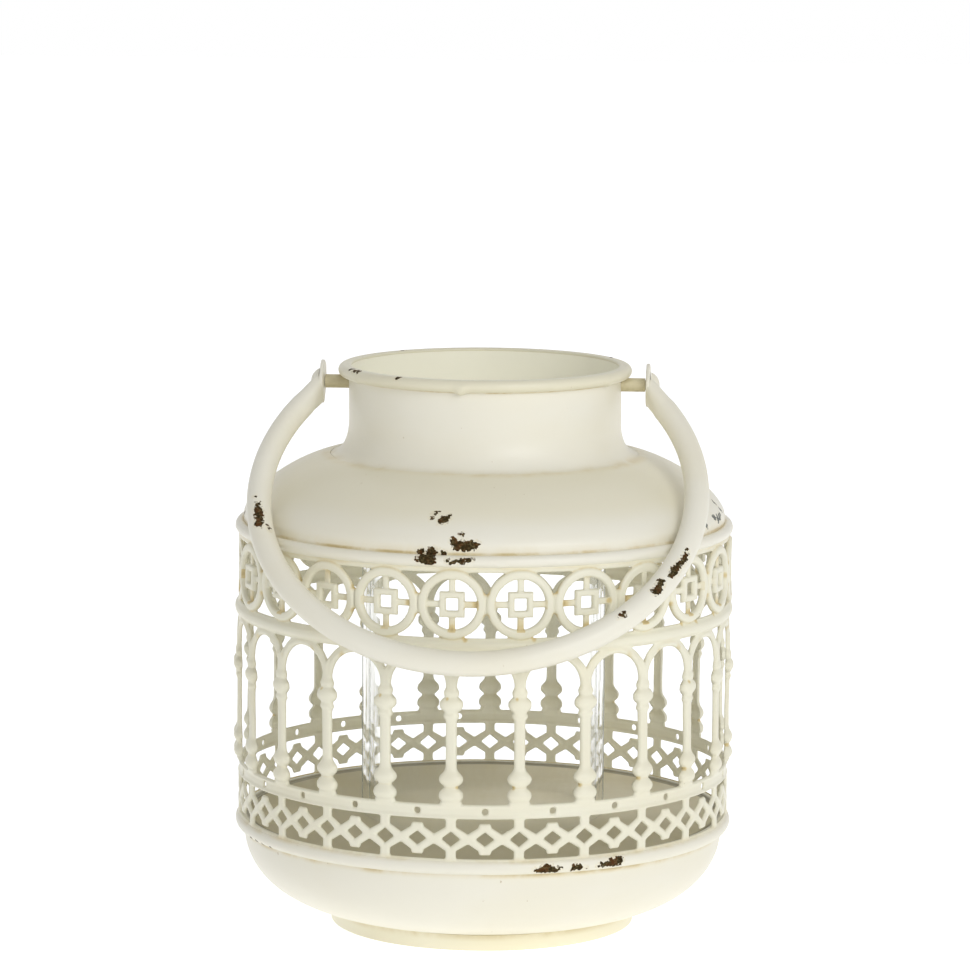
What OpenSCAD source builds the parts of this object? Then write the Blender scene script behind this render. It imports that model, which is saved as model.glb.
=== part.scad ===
// Openwork lantern, milk-churn form: a stamped and rolled cage held between a shallow bowl
// and a domed shoulder, a short neck with a rolled rim, a swinging tube handle on two
// mushroom-head rivets, and a loose glass cylinder that stands on the floor plate.
// Origin: centre of the foot ring, on the table. +Z is up, -Y is the front, and the
// handle turns about an axis along X. Stored with the handle resting on the shoulder.

/* [Sheet and play] */
// Thickness of the pressed sheet
sheet_t = 1; // [0.8:0.1:1.3]
// Play between two pieces that are seated together
seat_gap = 0.05; // [0.03:0.01:0.08]
// Play between a piece that moves and what it passes or rests on
run_gap = 0.3; // [0.2:0.05:0.4]

/* [Foot and bowl] */
// Outside radius of the foot ring
foot_r = 61.5; // [55:0.5:68]
// Wall of the foot ring
foot_wall = 1.5; // [1:0.1:2]
// Height of the bowl's flat bottom above the table
bowl_base = 5.9; // [5:0.1:8]
// Depth of the bowl from its brow to its flat bottom
bowl_depth = 34.4; // [28:0.5:40]
// Radius of the bowl's flat bottom
bowl_flat_r = 47; // [40:0.5:52]
// How full the bowl's corner is, 2 being a plain ellipse
bowl_fullness = 2.25; // [1.9:0.05:2.6]
// How far the bowl's wall stands in from the cage
bowl_inset = 2; // [1.8:0.1:2.6]
// Height of the upright stretch from the bowl's brow to the middle of its lip
lip_rise = 1.7; // [1:0.1:3]
// Radius of the rolled lip
lip_bead_r = 3; // [2.8:0.1:3.4]
// How far the lip and the shoulder's bead stand out past the cage
bead_lap = 1.5; // [1.3:0.1:1.8]

/* [Floor plate] */
// Height of the plate's top above the middle of the lip
floor_rise = 2; // [1.8:0.1:2.4]
// Gap all round between the plate and the cage
floor_gap = 0.8; // [0.5:0.1:1.2]

/* [Cage] */
// Outside radius of the cage's sheet
cage_r = 99; // [92:0.5:106]
// Number of bays stamped in the strip
bays = 23; // [21:1:25]
// Width of the plain lap between the strip's two end posts, centre to centre
lap_w = 8; // [7:0.5:10]
// Bearing of the lap from the front, round to the left
lap_bearing = 83.4; // [0:0.1:180]
// Width of a post's shaft
post_w = 4.4; // [3.8:0.1:5]
// Height of the diamond lattice at the bottom
lattice_h = 16.4; // [15:0.2:18]
// Height of the rail with the round holes
rail_h = 5.5; // [5:0.1:7]
// Radius of the round holes in the rail
rail_hole_r = 1.3; // [1:0.1:1.6]
// Height of a post from the rail to the spring of the arches
post_h = 46.1; // [42:0.5:52]
// Height of the plain band from an arch's crown to the moulding
crown_h = 3.7; // [3:0.1:5]
// Radius of the half-round moulding above the arches
moulding_r = 2.2; // [1.8:0.1:2.6]
// Width of a ring's band
ring_w = 3.5; // [3:0.1:4]
// Height of the sill between the moulding and the rings
sill_h = 0.8; // [0.6:0.1:1.5]

/* [Shoulder and neck] */
// Radius of the bead that clamps the cage's upper edge
shoulder_bead_r = 2.35; // [2.2:0.05:2.7]
// How far the shoulder's wall stands in from the cage
shoulder_inset = 1.9; // [1.8:0.1:2.4]
// Height of the upright wall above the middle of the bead
shoulder_wall_h = 5.4; // [4:0.2:7]
// Height of the dome above that wall
dome_h = 23.5; // [20:0.5:28]
// How full the dome is, 2 being a plain ellipse
dome_fullness = 1.45; // [1.3:0.05:1.8]
// Outside radius of the neck
neck_r = 54.8; // [53:0.2:56]
// Radius at which the neck's flared foot meets the dome
neck_foot_r = 62; // [60:0.5:65]
// Height of the flare at the neck's foot
flare_h = 13; // [10:0.5:16]
// Height from the neck's foot to the middle of the rim
neck_h = 33.8; // [30:0.5:40]
// Radius of the rolled rim
rim_bead_r = 2.4; // [2.2:0.05:2.6]
// How far the middle of the rim stands out from the neck
rim_out = 1.9; // [1.7:0.1:2.1]

/* [Handle and pivots] */
// Radius of the handle's tube
tube_r = 4.9; // [4:0.1:5.5]
// Wall of the handle's tube
tube_wall = 1.1; // [0.8:0.1:1.5]
// Radius of the handle's bow, along the middle of the tube
bow_r = 86.4; // [84:0.2:92]
// Distance from the pivot down to the middle of the bow
bow_drop = 60.2; // [58:0.2:68]
// Distance from the neck to the handle's ear
ear_reach = 9.9; // [9:0.1:12]
// Thickness of the tube where it is pressed flat into an ear
ear_t = 1.8; // [1.4:0.1:2.2]
// Half the width of an ear
ear_half_w = 7.8; // [7:0.1:8.5]
// Radius of a rivet's shank
shank_r = 2; // [1.6:0.1:2.4]
// Radius of a rivet's mushroom head
head_r = 5.2; // [4.6:0.1:5.4]
// Height of a rivet's mushroom head
head_h = 3.5; // [2.8:0.1:4]
// Outside radius of the spacer sleeve
spacer_r = 2.75; // [2.5:0.05:3.2]

/* [Glass] */
// Outside radius of the glass cylinder
glass_r = 49.2; // [40:0.2:51]
// Wall of the glass
glass_wall = 3; // [2:0.1:4]
// Height of the glass
glass_h = 132; // [110:1:150]

/* [Hidden] */

// Smoothness of round surfaces
round_fn = 180;
small_fn = 40;
// Steps along a drawn curve
curve_steps = 22;
// Overrun of every cut past the surface that it leaves
over = 1;

// Colours
cream = [0.93, 0.91, 0.84];
foot_cream = [0.90, 0.88, 0.72];
floor_khaki = [0.62, 0.59, 0.48];
stained_steel = [0.60, 0.53, 0.36];
clear_glass = [0.86, 0.92, 0.92, 0.35];

// Heights, stacked from the table upward
bowl_brow_z = bowl_base + bowl_depth;
lip_z = bowl_brow_z + lip_rise;
floor_z = lip_z + floor_rise;
slot_depth = 1;
cage_low_z = lip_z - slot_depth + seat_gap;
lattice_z = lip_z + lip_bead_r;
rail_z = lattice_z + lattice_h;
post_z = rail_z + rail_h;
spring_z = post_z + post_h;

// Spacing of the stamped pattern
lap_deg = lap_w / cage_r * 180 / PI;
pitch = (360 - lap_deg) / bays;
half_bay_w = cage_r * tan(pitch / 2);
arch_r = half_bay_w - post_w / 2;
seam_bearing = 90;
function post_bearing(k) = seam_bearing + lap_deg / 2 + k * pitch;
function bay_bearing(k) = post_bearing(k + 0.5);

crown_z = spring_z + arch_r;
moulding_z = crown_z + crown_h + moulding_r;
ring_gap = 0.1;
ring_r = half_bay_w - ring_gap;
ring_z = moulding_z + moulding_r + sill_h + ring_r;
shoulder_bead_z = ring_z + ring_r + shoulder_bead_r;
cage_high_z = shoulder_bead_z + slot_depth - seat_gap;
brow_z = shoulder_bead_z + shoulder_wall_h;
dome_top_z = brow_z + dome_h;
rim_z = dome_top_z + neck_h;

// Radii that follow the cage
cage_in_r = cage_r - sheet_t;
slot_in_r = cage_in_r - seat_gap;
slot_w = sheet_t + 2 * seat_gap;
lip_mid_r = cage_r + bead_lap - lip_bead_r;
bowl_r = cage_r - bowl_inset;
shoulder_mid_r = cage_r + bead_lap - shoulder_bead_r;
shoulder_r = cage_r - shoulder_inset;
plate_r = cage_in_r - floor_gap;
neck_in_r = neck_r - sheet_t;

// Lap joint of the neck's flared foot under the dome, in steps of the dome's curve
lap_steps = 2;
// The neck's upper edge, inside the rolled rim
neck_edge_share = 0.6;
neck_top_z = rim_z + rim_bead_r * neck_edge_share;
rim_top_z = rim_z + rim_bead_r;
// Lump of solder under the rim
solder_bearing = -7.6;
solder_r = 3.5;
solder_out = 1.8;

// Embossing of the cage, measured out from the face of its sheet
band_half_w = 1.5;
crest_half_w = 0.6;
band_edge_h = 0.8;
band_h = 1.7;
frame_w = 10.2;
frame_hole_w = 4.8;
frame_relief = 0.9;
ledge = 0.25;
spoke_w = 2.6;
turn_sink = 3.4;
post_seat = 0.5;
// The backs of the posts and of the lap are pressed forward of the sheet's inner face
post_dish = 0.25;
lap_dish = 0.15;
cove_h = 1.2;
swell_end_share = 0.9;
swell_flat_share = 0.5;
bulb_half_w = 4.85;
notch_half_w = 2.7;
foot_half_w = 4.2;
collar_half_w = 3.1;
// Heights of a baluster's turnings above the rail
foot_turn_h = 0.9;
low_bulb_h = 3.7;
high_bulb_h = 10;
notch_h = (low_bulb_h + high_bulb_h) / 2;
// Depths of a baluster's turnings below the spring of the arch
low_collar_drop = 11.1;
knop_drop = 6.6;
high_collar_drop = 2.1;
bulb_half_h = 2.4;
knop_half_h = 2.2;
collar_half_h = 1.3;

// Stamped lattice, as half widths and heights of its cut-outs
diamond_half_w = 3.45;
mid_diamond_half_h = 2.45;
post_diamond_half_h = 2.75;
knob_half_w = 2.2;
knob_tip_h = 6.7;
vee_tip_h = 2.3;
cheek_h = 5.6;
knob_root_half_w = 3.7;
knob_root_h = 5.2;
spandrel_half_w = 4.9;
spandrel_h = 4.7;
spandrel_lintel_h = 2.7;
gusset_trim = 0.4;

// Pivots
pivot_z = rim_z - rim_bead_r - spacer_r - run_gap;
ear_x = neck_r + ear_reach;
ear_tip = 1.2;
bore_r = shank_r + seat_gap;
washer_r = 4.2;
washer_t = 0.8;
tail_r = 3.4;
tail_h = 1.4;
ear_bend = 7.4;
ear_run = 6;
ear_lap = 1.2;
washer_x = sqrt(pow(neck_in_r, 2) - pow(washer_r, 2)) - seat_gap;
bow_end = acos((ear_bend + ear_run - bow_drop) / bow_r);

// A point on a rounded corner: t runs from 0 to 90 degrees
function corner(t, reach_r, reach_z, fullness) =
  [reach_r * pow(cos(t), 2 / fullness), reach_z * pow(sin(t), 2 / fullness)];
function corner_steps() = [for (i = [0:curve_steps]) 90 * i / curve_steps];

// The bowl's corner, from its brow down to its flat bottom, set in by inset
function bowl_curve(inset) = [
  for (t = corner_steps())
    let (p = corner(t, bowl_r - bowl_flat_r - inset, bowl_depth - inset, bowl_fullness))
      [bowl_flat_r + p[0], bowl_brow_z - p[1]]
];
// Height of the bowl's outer face at a radius
function bowl_face_z(r) =
  let (share = (r - bowl_flat_r) / (bowl_r - bowl_flat_r))
    bowl_brow_z - bowl_depth * pow(1 - pow(share, bowl_fullness), 1 / bowl_fullness);

// The dome's corner, from its brow up to the neck's foot, set in by inset
function dome_curve(inset) = [
  for (t = corner_steps())
    let (p = corner(t, shoulder_r - neck_foot_r - inset, dome_h - inset, dome_fullness))
      [neck_foot_r + p[0], brow_z + p[1]]
];

// The neck's flared foot, from the neck's wall out to the dome, set in by inset
function flare_curve(inset) = [
  for (t = corner_steps())
    let (p = corner(t, neck_foot_r - neck_r, flare_h, 2))
      [neck_foot_r - p[0] - inset * cos(t), dome_top_z + flare_h - p[1] - inset * sin(t)]
];

// How far the tube clears the lantern at one place on the bow, for one tilt of the handle
function reach_at(a, tilt) =
  let (down = bow_drop + bow_r * cos(a))
    [norm([bow_r * sin(a), down * sin(tilt)]), pivot_z - down * cos(tilt)];
function clear_at(p, dome) = min(concat(
  [norm(p - [shoulder_mid_r, shoulder_bead_z]) - shoulder_bead_r],
  p[1] < shoulder_bead_z ? [p[0] - cage_r - bead_lap] : [],
  [for (q = dome) norm(p - q)]
)) - tube_r;
function clearance(tilt, dome) = min([for (a = [0:3:120]) clear_at(reach_at(a, tilt), dome)]);
// The least tilt at which the hanging handle rests on the shoulder without cutting it
function resting_tilt(low, high, dome, tries) =
  let (mid = (low + high) / 2)
    tries == 0 ? high
    : clearance(mid, dome) < run_gap ? resting_tilt(mid, high, dome, tries - 1)
    : resting_tilt(low, mid, dome, tries - 1);
rest_tilt = resting_tilt(20, 89, dome_curve(0), 12);

// Places a cut or an embossing on the cage's face: x runs round it, y up, z outward
module on_cage(bearing, height) {
  rotate([0, 0, bearing])
    translate([0, -cage_r, height])
      rotate([90, 0, 0])
        children();
}

// A cut straight through the sheet, in the outline of its children
module punch(bearing, height) {
  on_cage(bearing, height)
    translate([0, 0, -sheet_t * 3])
      linear_extrude(height = sheet_t * 6) children();
}

// Outline of one swelling of a baluster: its radius from the turning axis against its height
function turn_at(half_w) = norm([half_w, turn_sink]);
function swelling(mid, half_h, half_w) = [
  [turn_at(half_w) * swell_end_share, mid - half_h], [turn_at(half_w), mid - half_h * swell_flat_share],
  [turn_at(half_w), mid + half_h * swell_flat_share], [turn_at(half_w) * swell_end_share, mid + half_h]
];

// A stretch of turned outline, about an upright axis that lies behind the cage's face
module turned(outline) {
  translate([0, 0, -turn_sink])
    rotate([-90, 0, 0])
      rotate_extrude($fn = small_fn)
        polygon(concat([[0, outline[0][1]]], outline, [[0, outline[len(outline) - 1][1]]]));
}

// One post of the cage, turned in front and trimmed to the sheet's inner face behind
module post() {
  low_collar_z = post_h - low_collar_drop;
  shaft_r = turn_at(post_w / 2);
  low_shaft_z = high_bulb_h + bulb_half_h + cove_h;
  difference() {
    on_cage(0, post_z)
      turned(concat(
        [[turn_at(foot_half_w), -post_seat], [turn_at(foot_half_w), foot_turn_h]],
        swelling(low_bulb_h, bulb_half_h, bulb_half_w), [[turn_at(notch_half_w), notch_h]],
        swelling(high_bulb_h, bulb_half_h, bulb_half_w),
        [[shaft_r, low_shaft_z], [shaft_r, low_collar_z - collar_half_h - cove_h]],
        swelling(low_collar_z, collar_half_h, collar_half_w),
        swelling(post_h - knop_drop, knop_half_h, bulb_half_w),
        swelling(post_h - high_collar_drop, collar_half_h, collar_half_w),
        [[shaft_r, post_h + cove_h], [shaft_r, post_h + arch_r / 2]]
      ));
    translate([0, 0, post_z - over])
      cylinder(r = cage_in_r + post_dish, h = post_h * 2, $fn = round_fn);
  }
}

module tube(low, high) {
  translate([0, 0, low]) cylinder(r = cage_r, h = high - low, $fn = round_fn);
}

module diamond_outline(half_w, half_h) {
  polygon([[-half_w, 0], [0, -half_h], [half_w, 0], [0, half_h]]);
}

// The cut-out above or below the lattice's diamonds, from one post to the next
module lattice_outline() {
  side = half_bay_w - post_w / 2;
  vee = half_bay_w / 2;
  top = lattice_h / 2;
  polygon([
    [-side, top], [-side, cheek_h], [-vee, vee_tip_h], [-knob_root_half_w, knob_root_h],
    [-knob_half_w, knob_tip_h], [knob_half_w, knob_tip_h], [knob_root_half_w, knob_root_h],
    [vee, vee_tip_h], [side, cheek_h], [side, top]
  ]);
}

module lattice_cuts(bearing) {
  mid_z = lattice_z + lattice_h / 2;
  punch(bearing, mid_z) {
    lattice_outline();
    mirror([0, 1]) lattice_outline();
    diamond_outline(diamond_half_w, mid_diamond_half_h);
  }
}

// The open triangle between two arches
module spandrel_cut(bearing) {
  punch(bearing, crown_z + crown_h - spandrel_lintel_h)
    polygon([[-spandrel_half_w, 0], [0, -spandrel_h], [spandrel_half_w, 0]]);
}

// The four windows of a ring, on the side or sides where the strip goes on
module ring_windows(bearing, to_left, to_right) {
  inner_r = ring_r - ring_w;
  punch(bearing, ring_z)
    difference() {
      circle(r = inner_r, $fn = small_fn * 2);
      square(frame_w, center = true);
      square([spoke_w, 2 * ring_r], center = true);
      square([2 * ring_r, spoke_w], center = true);
      if (!to_left) translate([-ring_r, -ring_r]) square([ring_r, 2 * ring_r]);
      if (!to_right) translate([0, -ring_r]) square([ring_r, 2 * ring_r]);
    }
}

// The gussets left open above and below where two rings meet
module gusset_cuts(bearing) {
  reach = half_bay_w;
  punch(bearing, ring_z)
    difference() {
      square([2 * reach, 2 * (ring_r - gusset_trim)], center = true);
      square([2 * reach, ring_r], center = true);
      for (side = [-1, 1]) translate([side * reach, 0]) circle(r = ring_r, $fn = small_fn * 2);
    }
}

// Raised band of a ring, with sloping shoulders
module ring_relief() {
  mid = ring_r - ring_w / 2;
  translate([0, 0, -sheet_t / 2])
    rotate_extrude($fn = small_fn * 2)
      polygon([
        [mid - band_half_w, 0], [mid - band_half_w, band_edge_h], [mid - crest_half_w, band_h],
        [mid + crest_half_w, band_h], [mid + band_half_w, band_edge_h], [mid + band_half_w, 0]
      ]);
}

module frame_relief_block() {
  translate([0, 0, -sheet_t / 2])
    linear_extrude(height = sheet_t / 2 + frame_relief) square(frame_w - 2 * ledge, center = true);
}

module foot_ring() {
  top_z = bowl_face_z(foot_r - foot_wall) - seat_gap;
  color(foot_cream)
    rotate_extrude($fn = round_fn) {
      translate([foot_r - foot_wall, 0]) square([foot_wall, top_z]);
    }
}

module base_bowl() {
  seat_z = floor_z - sheet_t - seat_gap;
  color(cream)
    rotate_extrude($fn = round_fn)
      difference() {
        union() {
          polygon(concat(
            [[0, bowl_base]], [for (i = [curve_steps:-1:0]) bowl_curve(0)[i]],
            [[bowl_r, lip_z], [bowl_r - sheet_t, lip_z]], bowl_curve(sheet_t),
            [[0, bowl_base + sheet_t]]
          ));
          translate([lip_mid_r, lip_z]) circle(r = lip_bead_r, $fn = small_fn);
        }
        translate([slot_in_r, lip_z - slot_depth]) square([slot_w, lip_bead_r + slot_depth + over]);
        translate([0, seat_z]) square([cage_in_r, lip_bead_r + over]);
      }
}

module floor_plate() {
  color(floor_khaki)
    translate([0, 0, floor_z - sheet_t]) cylinder(r = plate_r, h = sheet_t, $fn = round_fn);
}

// The cage below the posts: diamond lattice and pierced rail
module cage_foot() {
  difference() {
    tube(cage_low_z, post_z);
    for (k = [0:bays - 1]) {
      lattice_cuts(bay_bearing(k));
      punch(bay_bearing(k), rail_z + rail_h / 2) circle(r = rail_hole_r, $fn = small_fn);
    }
    for (k = [0:bays])
      punch(post_bearing(k), lattice_z + lattice_h / 2)
        diamond_outline(diamond_half_w, post_diamond_half_h);
    translate([0, 0, cage_low_z - over]) cylinder(r = cage_in_r, h = post_h, $fn = round_fn);
  }
}

// The frieze's band before it is pierced, with its moulding and raised rings
module frieze_band() {
  difference() {
    union() {
      tube(spring_z, cage_high_z);
      rotate_extrude($fn = round_fn)
        translate([cage_r - sheet_t, moulding_z]) circle(r = moulding_r, $fn = small_fn);
      for (k = [1:bays - 1]) on_cage(post_bearing(k), ring_z) {
        ring_relief();
        frame_relief_block();
      }
    }
    translate([0, 0, spring_z - over])
      cylinder(r = cage_in_r, h = cage_high_z - spring_z + 2 * over, $fn = round_fn);
  }
}

// The cage above the posts: arches, moulding and the frieze of rings
module cage_frieze() {
  difference() {
    frieze_band();
    for (k = [0:bays - 1]) {
      punch(bay_bearing(k), spring_z) rotate(-90) circle(r = arch_r, $fn = small_fn * 2);
      gusset_cuts(bay_bearing(k));
    }
    for (k = [0:bays]) ring_windows(post_bearing(k), k > 0, k < bays);
    for (k = [1:bays - 1]) {
      spandrel_cut(post_bearing(k));
      punch(post_bearing(k), ring_z) square(frame_hole_w, center = true);
    }
  }
}

// The plain lap where the two ends of the rolled strip meet, between its end posts
module lap_sheet() {
  intersection() {
    difference() {
      translate([0, 0, post_z - post_seat])
        cylinder(r = cage_r - lap_dish, h = post_h + 2 * post_seat, $fn = round_fn);
      translate([0, 0, post_z - over])
        cylinder(r = cage_in_r + lap_dish, h = post_h * 2, $fn = round_fn);
    }
    punch(seam_bearing, post_z - post_seat)
      translate([-lap_w / 2, -over]) square([lap_w, post_h + 2 * over]);
  }
}

// The strip is rolled with its lap at the seam bearing and then turned to where the lap lies
module cage_panel() {
  color(cream)
    rotate([0, 0, -lap_bearing - seam_bearing]) {
      cage_foot();
      cage_frieze();
      lap_sheet();
      for (k = [0:bays]) rotate([0, 0, post_bearing(k)]) post();
    }
}

module shoulder_dome() {
  wall_in_r = shoulder_r - sheet_t;
  color(cream)
    rotate_extrude($fn = round_fn)
      difference() {
        union() {
          polygon(concat(
            [[shoulder_r, shoulder_bead_z]], dome_curve(0),
            [for (i = [curve_steps:-1:0]) dome_curve(sheet_t)[i]],
            [[wall_in_r, shoulder_bead_z]]
          ));
          translate([shoulder_mid_r, shoulder_bead_z]) circle(r = shoulder_bead_r, $fn = small_fn);
        }
        translate([slot_in_r, shoulder_bead_z + slot_depth - shoulder_bead_r * 2])
          square([slot_w, shoulder_bead_r * 2]);
        translate([0, brow_z]) square([neck_foot_r + seat_gap, dome_h + over]);
      }
}

// The neck's foot flares over the dome's hole, and its flange laps the dome from below
module neck_collar() {
  lap_top = sheet_t + seat_gap;
  lap_low = lap_top + sheet_t;
  last = curve_steps;
  color(cream)
    difference() {
      rotate_extrude($fn = round_fn)
        polygon(concat(
          [[neck_in_r, neck_top_z], [neck_r, neck_top_z]], flare_curve(0),
          [for (i = [last:-1:last - lap_steps]) dome_curve(lap_top)[i]],
          [for (i = [last - lap_steps:last]) dome_curve(lap_low)[i]],
          [[neck_foot_r - sheet_t, dome_top_z - lap_low]],
          [for (i = [last - lap_steps:-1:0]) flare_curve(sheet_t)[i]]
        ));
      for (turn = [0, 180]) rotate([0, 0, turn])
        translate([neck_in_r - over, 0, pivot_z]) rotate([0, 90, 0])
          cylinder(r = bore_r, h = sheet_t + 2 * over, $fn = small_fn);
    }
}

// The rolled rim hooks over the neck's upper edge, with a lump of solder below it in front
module rim_ring() {
  hook_z = neck_top_z + seat_gap;
  seat_r = neck_r + seat_gap;
  rim_mid_r = neck_r + rim_out;
  color(cream)
    difference() {
      union() {
        rotate_extrude($fn = round_fn) {
          translate([rim_mid_r, rim_z]) circle(r = rim_bead_r, $fn = small_fn);
          translate([neck_in_r, hook_z]) square([rim_mid_r - neck_in_r, rim_top_z - hook_z]);
        }
        rotate([0, 0, solder_bearing])
          translate([0, -neck_r, rim_z - rim_bead_r]) rotate([90, 0, 0])
            cylinder(r = solder_r, h = solder_out, $fn = small_fn);
      }
      translate([0, 0, hook_z - 2 * (rim_bead_r + solder_r)])
        cylinder(r = seat_r, h = 2 * (rim_bead_r + solder_r), $fn = round_fn);
    }
}

// A sleeve between the neck and the ear, its inner end saddled to the neck
module spacer(turn) {
  color(stained_steel)
    rotate([0, 0, turn])
      difference() {
        translate([neck_in_r, 0, pivot_z]) rotate([0, 90, 0])
          cylinder(r = spacer_r, h = ear_x - run_gap - neck_in_r, $fn = small_fn);
        translate([neck_in_r - over, 0, pivot_z]) rotate([0, 90, 0])
          cylinder(r = bore_r, h = ear_x - neck_in_r + 2 * over, $fn = small_fn);
        translate([0, 0, pivot_z - spacer_r - over])
          cylinder(r = neck_r + seat_gap, h = 2 * (spacer_r + over), $fn = round_fn);
      }
}

// A mushroom-headed rivet, peened over a washer inside the neck
module rivet(turn) {
  tail_x = washer_x - washer_t - seat_gap - tail_h;
  head_x = ear_x + ear_t + run_gap;
  ball_r = (head_r * head_r + head_h * head_h) / (2 * head_h);
  color(cream)
    rotate([0, 0, turn]) translate([tail_x, 0, pivot_z]) rotate([0, 90, 0])
      rotate_extrude($fn = small_fn) {
        square([shank_r, head_x - tail_x + head_h / 2]);
        square([tail_r, tail_h]);
        intersection() {
          translate([0, head_x - tail_x + head_h - ball_r]) circle(r = ball_r, $fn = 2 * small_fn);
          translate([0, head_x - tail_x]) square([head_r, head_h]);
        }
      }
}

module washer(turn) {
  color(stained_steel)
    rotate([0, 0, turn]) translate([washer_x - washer_t, 0, pivot_z]) rotate([0, 90, 0])
      difference() {
        cylinder(r = washer_r, h = washer_t, $fn = small_fn);
        translate([0, 0, -over]) cylinder(r = bore_r, h = washer_t + 2 * over, $fn = small_fn);
      }
}

module spacer_left() spacer(180);
module spacer_right() spacer(0);
module rivet_left() rivet(180);
module rivet_right() rivet(0);
module washer_left() washer(180);
module washer_right() washer(0);

// A flat ear with its bore, and the squeezed stretch that joins it to the tube
module ear(turn) {
  rotate([0, 0, turn]) {
    difference() {
      translate([ear_x, 0, 0]) rotate([90, 0, 90])
        linear_extrude(height = ear_t) {
          translate([0, ear_tip]) circle(r = ear_half_w, $fn = 2 * small_fn);
          translate([-ear_half_w, -ear_bend]) square([2 * ear_half_w, ear_bend + ear_tip]);
        }
      translate([ear_x - over, 0, 0]) rotate([0, 90, 0])
        cylinder(r = bore_r, h = ear_t + 2 * over, $fn = small_fn);
    }
    hull() {
      translate([ear_x, -ear_half_w, -ear_bend]) cube([ear_t, 2 * ear_half_w, ear_lap]);
      translate([0, 0, -bow_drop]) rotate([90, 0, 0]) rotate([0, 0, bow_end - 90])
        translate([bow_r, 0, 0]) rotate([90, 0, 0])
          cylinder(r = tube_r - seat_gap, h = ear_lap, $fn = small_fn);
    }
  }
}

// The tube bow with its two ears, resting forward on the shoulder
module handle() {
  color(cream)
    translate([0, 0, pivot_z]) rotate([-rest_tilt, 0, 0]) {
      translate([0, 0, -bow_drop]) rotate([90, 0, 0]) rotate([0, 0, -90 - bow_end])
        rotate_extrude(angle = 2 * bow_end, $fn = round_fn)
          translate([bow_r, 0]) difference() {
            circle(r = tube_r, $fn = small_fn);
            circle(r = tube_r - tube_wall, $fn = small_fn);
          }
      for (turn = [0, 180]) ear(turn);
    }
}

// Stands on the floor plate and lifts out through the neck
module glass_cylinder() {
  color(clear_glass)
    translate([0, 0, floor_z + run_gap])
      difference() {
        cylinder(r = glass_r, h = glass_h, $fn = round_fn);
        translate([0, 0, -over])
          cylinder(r = glass_r - glass_wall, h = glass_h + 2 * over, $fn = round_fn);
      }
}

foot_ring();
base_bowl();
floor_plate();
cage_panel();
shoulder_dome();
neck_collar();
rim_ring();
spacer_left();
spacer_right();
rivet_left();
rivet_right();
washer_left();
washer_right();
handle();
glass_cylinder();
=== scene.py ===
import bpy
import math
import numpy as np
from mathutils import Matrix, Vector


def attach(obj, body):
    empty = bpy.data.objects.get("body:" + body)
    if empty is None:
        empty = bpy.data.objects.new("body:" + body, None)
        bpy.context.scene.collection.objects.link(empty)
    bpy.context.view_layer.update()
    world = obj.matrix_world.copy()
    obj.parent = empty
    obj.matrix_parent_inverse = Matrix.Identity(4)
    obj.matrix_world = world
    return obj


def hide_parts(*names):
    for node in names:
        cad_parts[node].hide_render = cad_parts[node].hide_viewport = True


MM = 0.001
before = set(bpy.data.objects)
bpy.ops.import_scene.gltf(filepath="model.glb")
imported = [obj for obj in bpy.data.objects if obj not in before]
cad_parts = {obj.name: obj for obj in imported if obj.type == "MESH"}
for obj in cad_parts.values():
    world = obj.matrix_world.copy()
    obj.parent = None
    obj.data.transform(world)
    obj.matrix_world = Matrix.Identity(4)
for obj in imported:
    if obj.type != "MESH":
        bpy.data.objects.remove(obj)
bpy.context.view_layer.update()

# Sizes, in millimetres
# Bearings are in degrees: 0 is the front, to the right is positive.
SHEET = 1.0                                      # thickness of the pressed sheets
FOOT_R, FOOT_TOP = 61.5, 6.4
BOWL_BOTTOM = 5.9
LIP_R, LIP_Z, LIP_BEAD_R = 97.5, 42.0, 3.0
PLATE_R, FLOOR_Z = 97.1, 44.0
CAGE_R = 99.0                                    # the cage's outer face
BAYS = 23
LAP_W, LAP_BEARING = 8.0, -83.4                  # plain strip where the cage's ends meet
LATTICE_Z, LATTICE_H = 45.0, 16.4
RAIL_Z = 61.4
POST_Z, POST_H = 66.9, 46.1
SPRING_Z = POST_Z + POST_H                       # where the arches spring
LAP_DEG = math.degrees(LAP_W / CAGE_R)
PITCH = (360.0 - LAP_DEG) / BAYS                 # degrees from post to post
HALF_BAY = CAGE_R * math.tan(math.radians(PITCH / 2))
ARCH_R = HALF_BAY - 2.2
CROWN_Z = SPRING_Z + ARCH_R
MOULDING_R = 2.2
MOULDING_Z = CROWN_Z + 3.7 + MOULDING_R
RING_R, RING_W = HALF_BAY - 0.1, 3.5
RING_Z = MOULDING_Z + MOULDING_R + 0.8 + RING_R
BEAD_MID_R, BEAD_R = 98.15, 2.35
BEAD_Z = RING_Z + RING_R + BEAD_R
SHOULDER_R, BROW_Z = 97.1, BEAD_Z + 5.4
DOME_TOP_Z = BROW_Z + 23.5
NECK_R, NECK_FOOT_R = 54.8, 62.0
FLARE_R, FLARE_H = NECK_FOOT_R - NECK_R, 13.0    # the neck's flared foot
RIM_Z = DOME_TOP_Z + 33.8
RIM_MID_R, RIM_TUBE_R = 56.7, 2.39
PIVOT_Z = RIM_Z - 2.4 - 2.75 - 0.3
REST_TILT = math.radians(49.78)
BOW_R, BOW_DROP = 86.4, 60.2                     # the bow's radius, and its centre's depth below the pivots
TUBE_R = 4.9
EAR_X, EAR_T, EAR_R = 64.7, 1.8, 7.78
GLASS_R, GLASS_BORE_R = 49.2, 46.2
GLASS_BOTTOM = FLOOR_Z + 0.3
GLASS_TOP = GLASS_BOTTOM + 132.0


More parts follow.
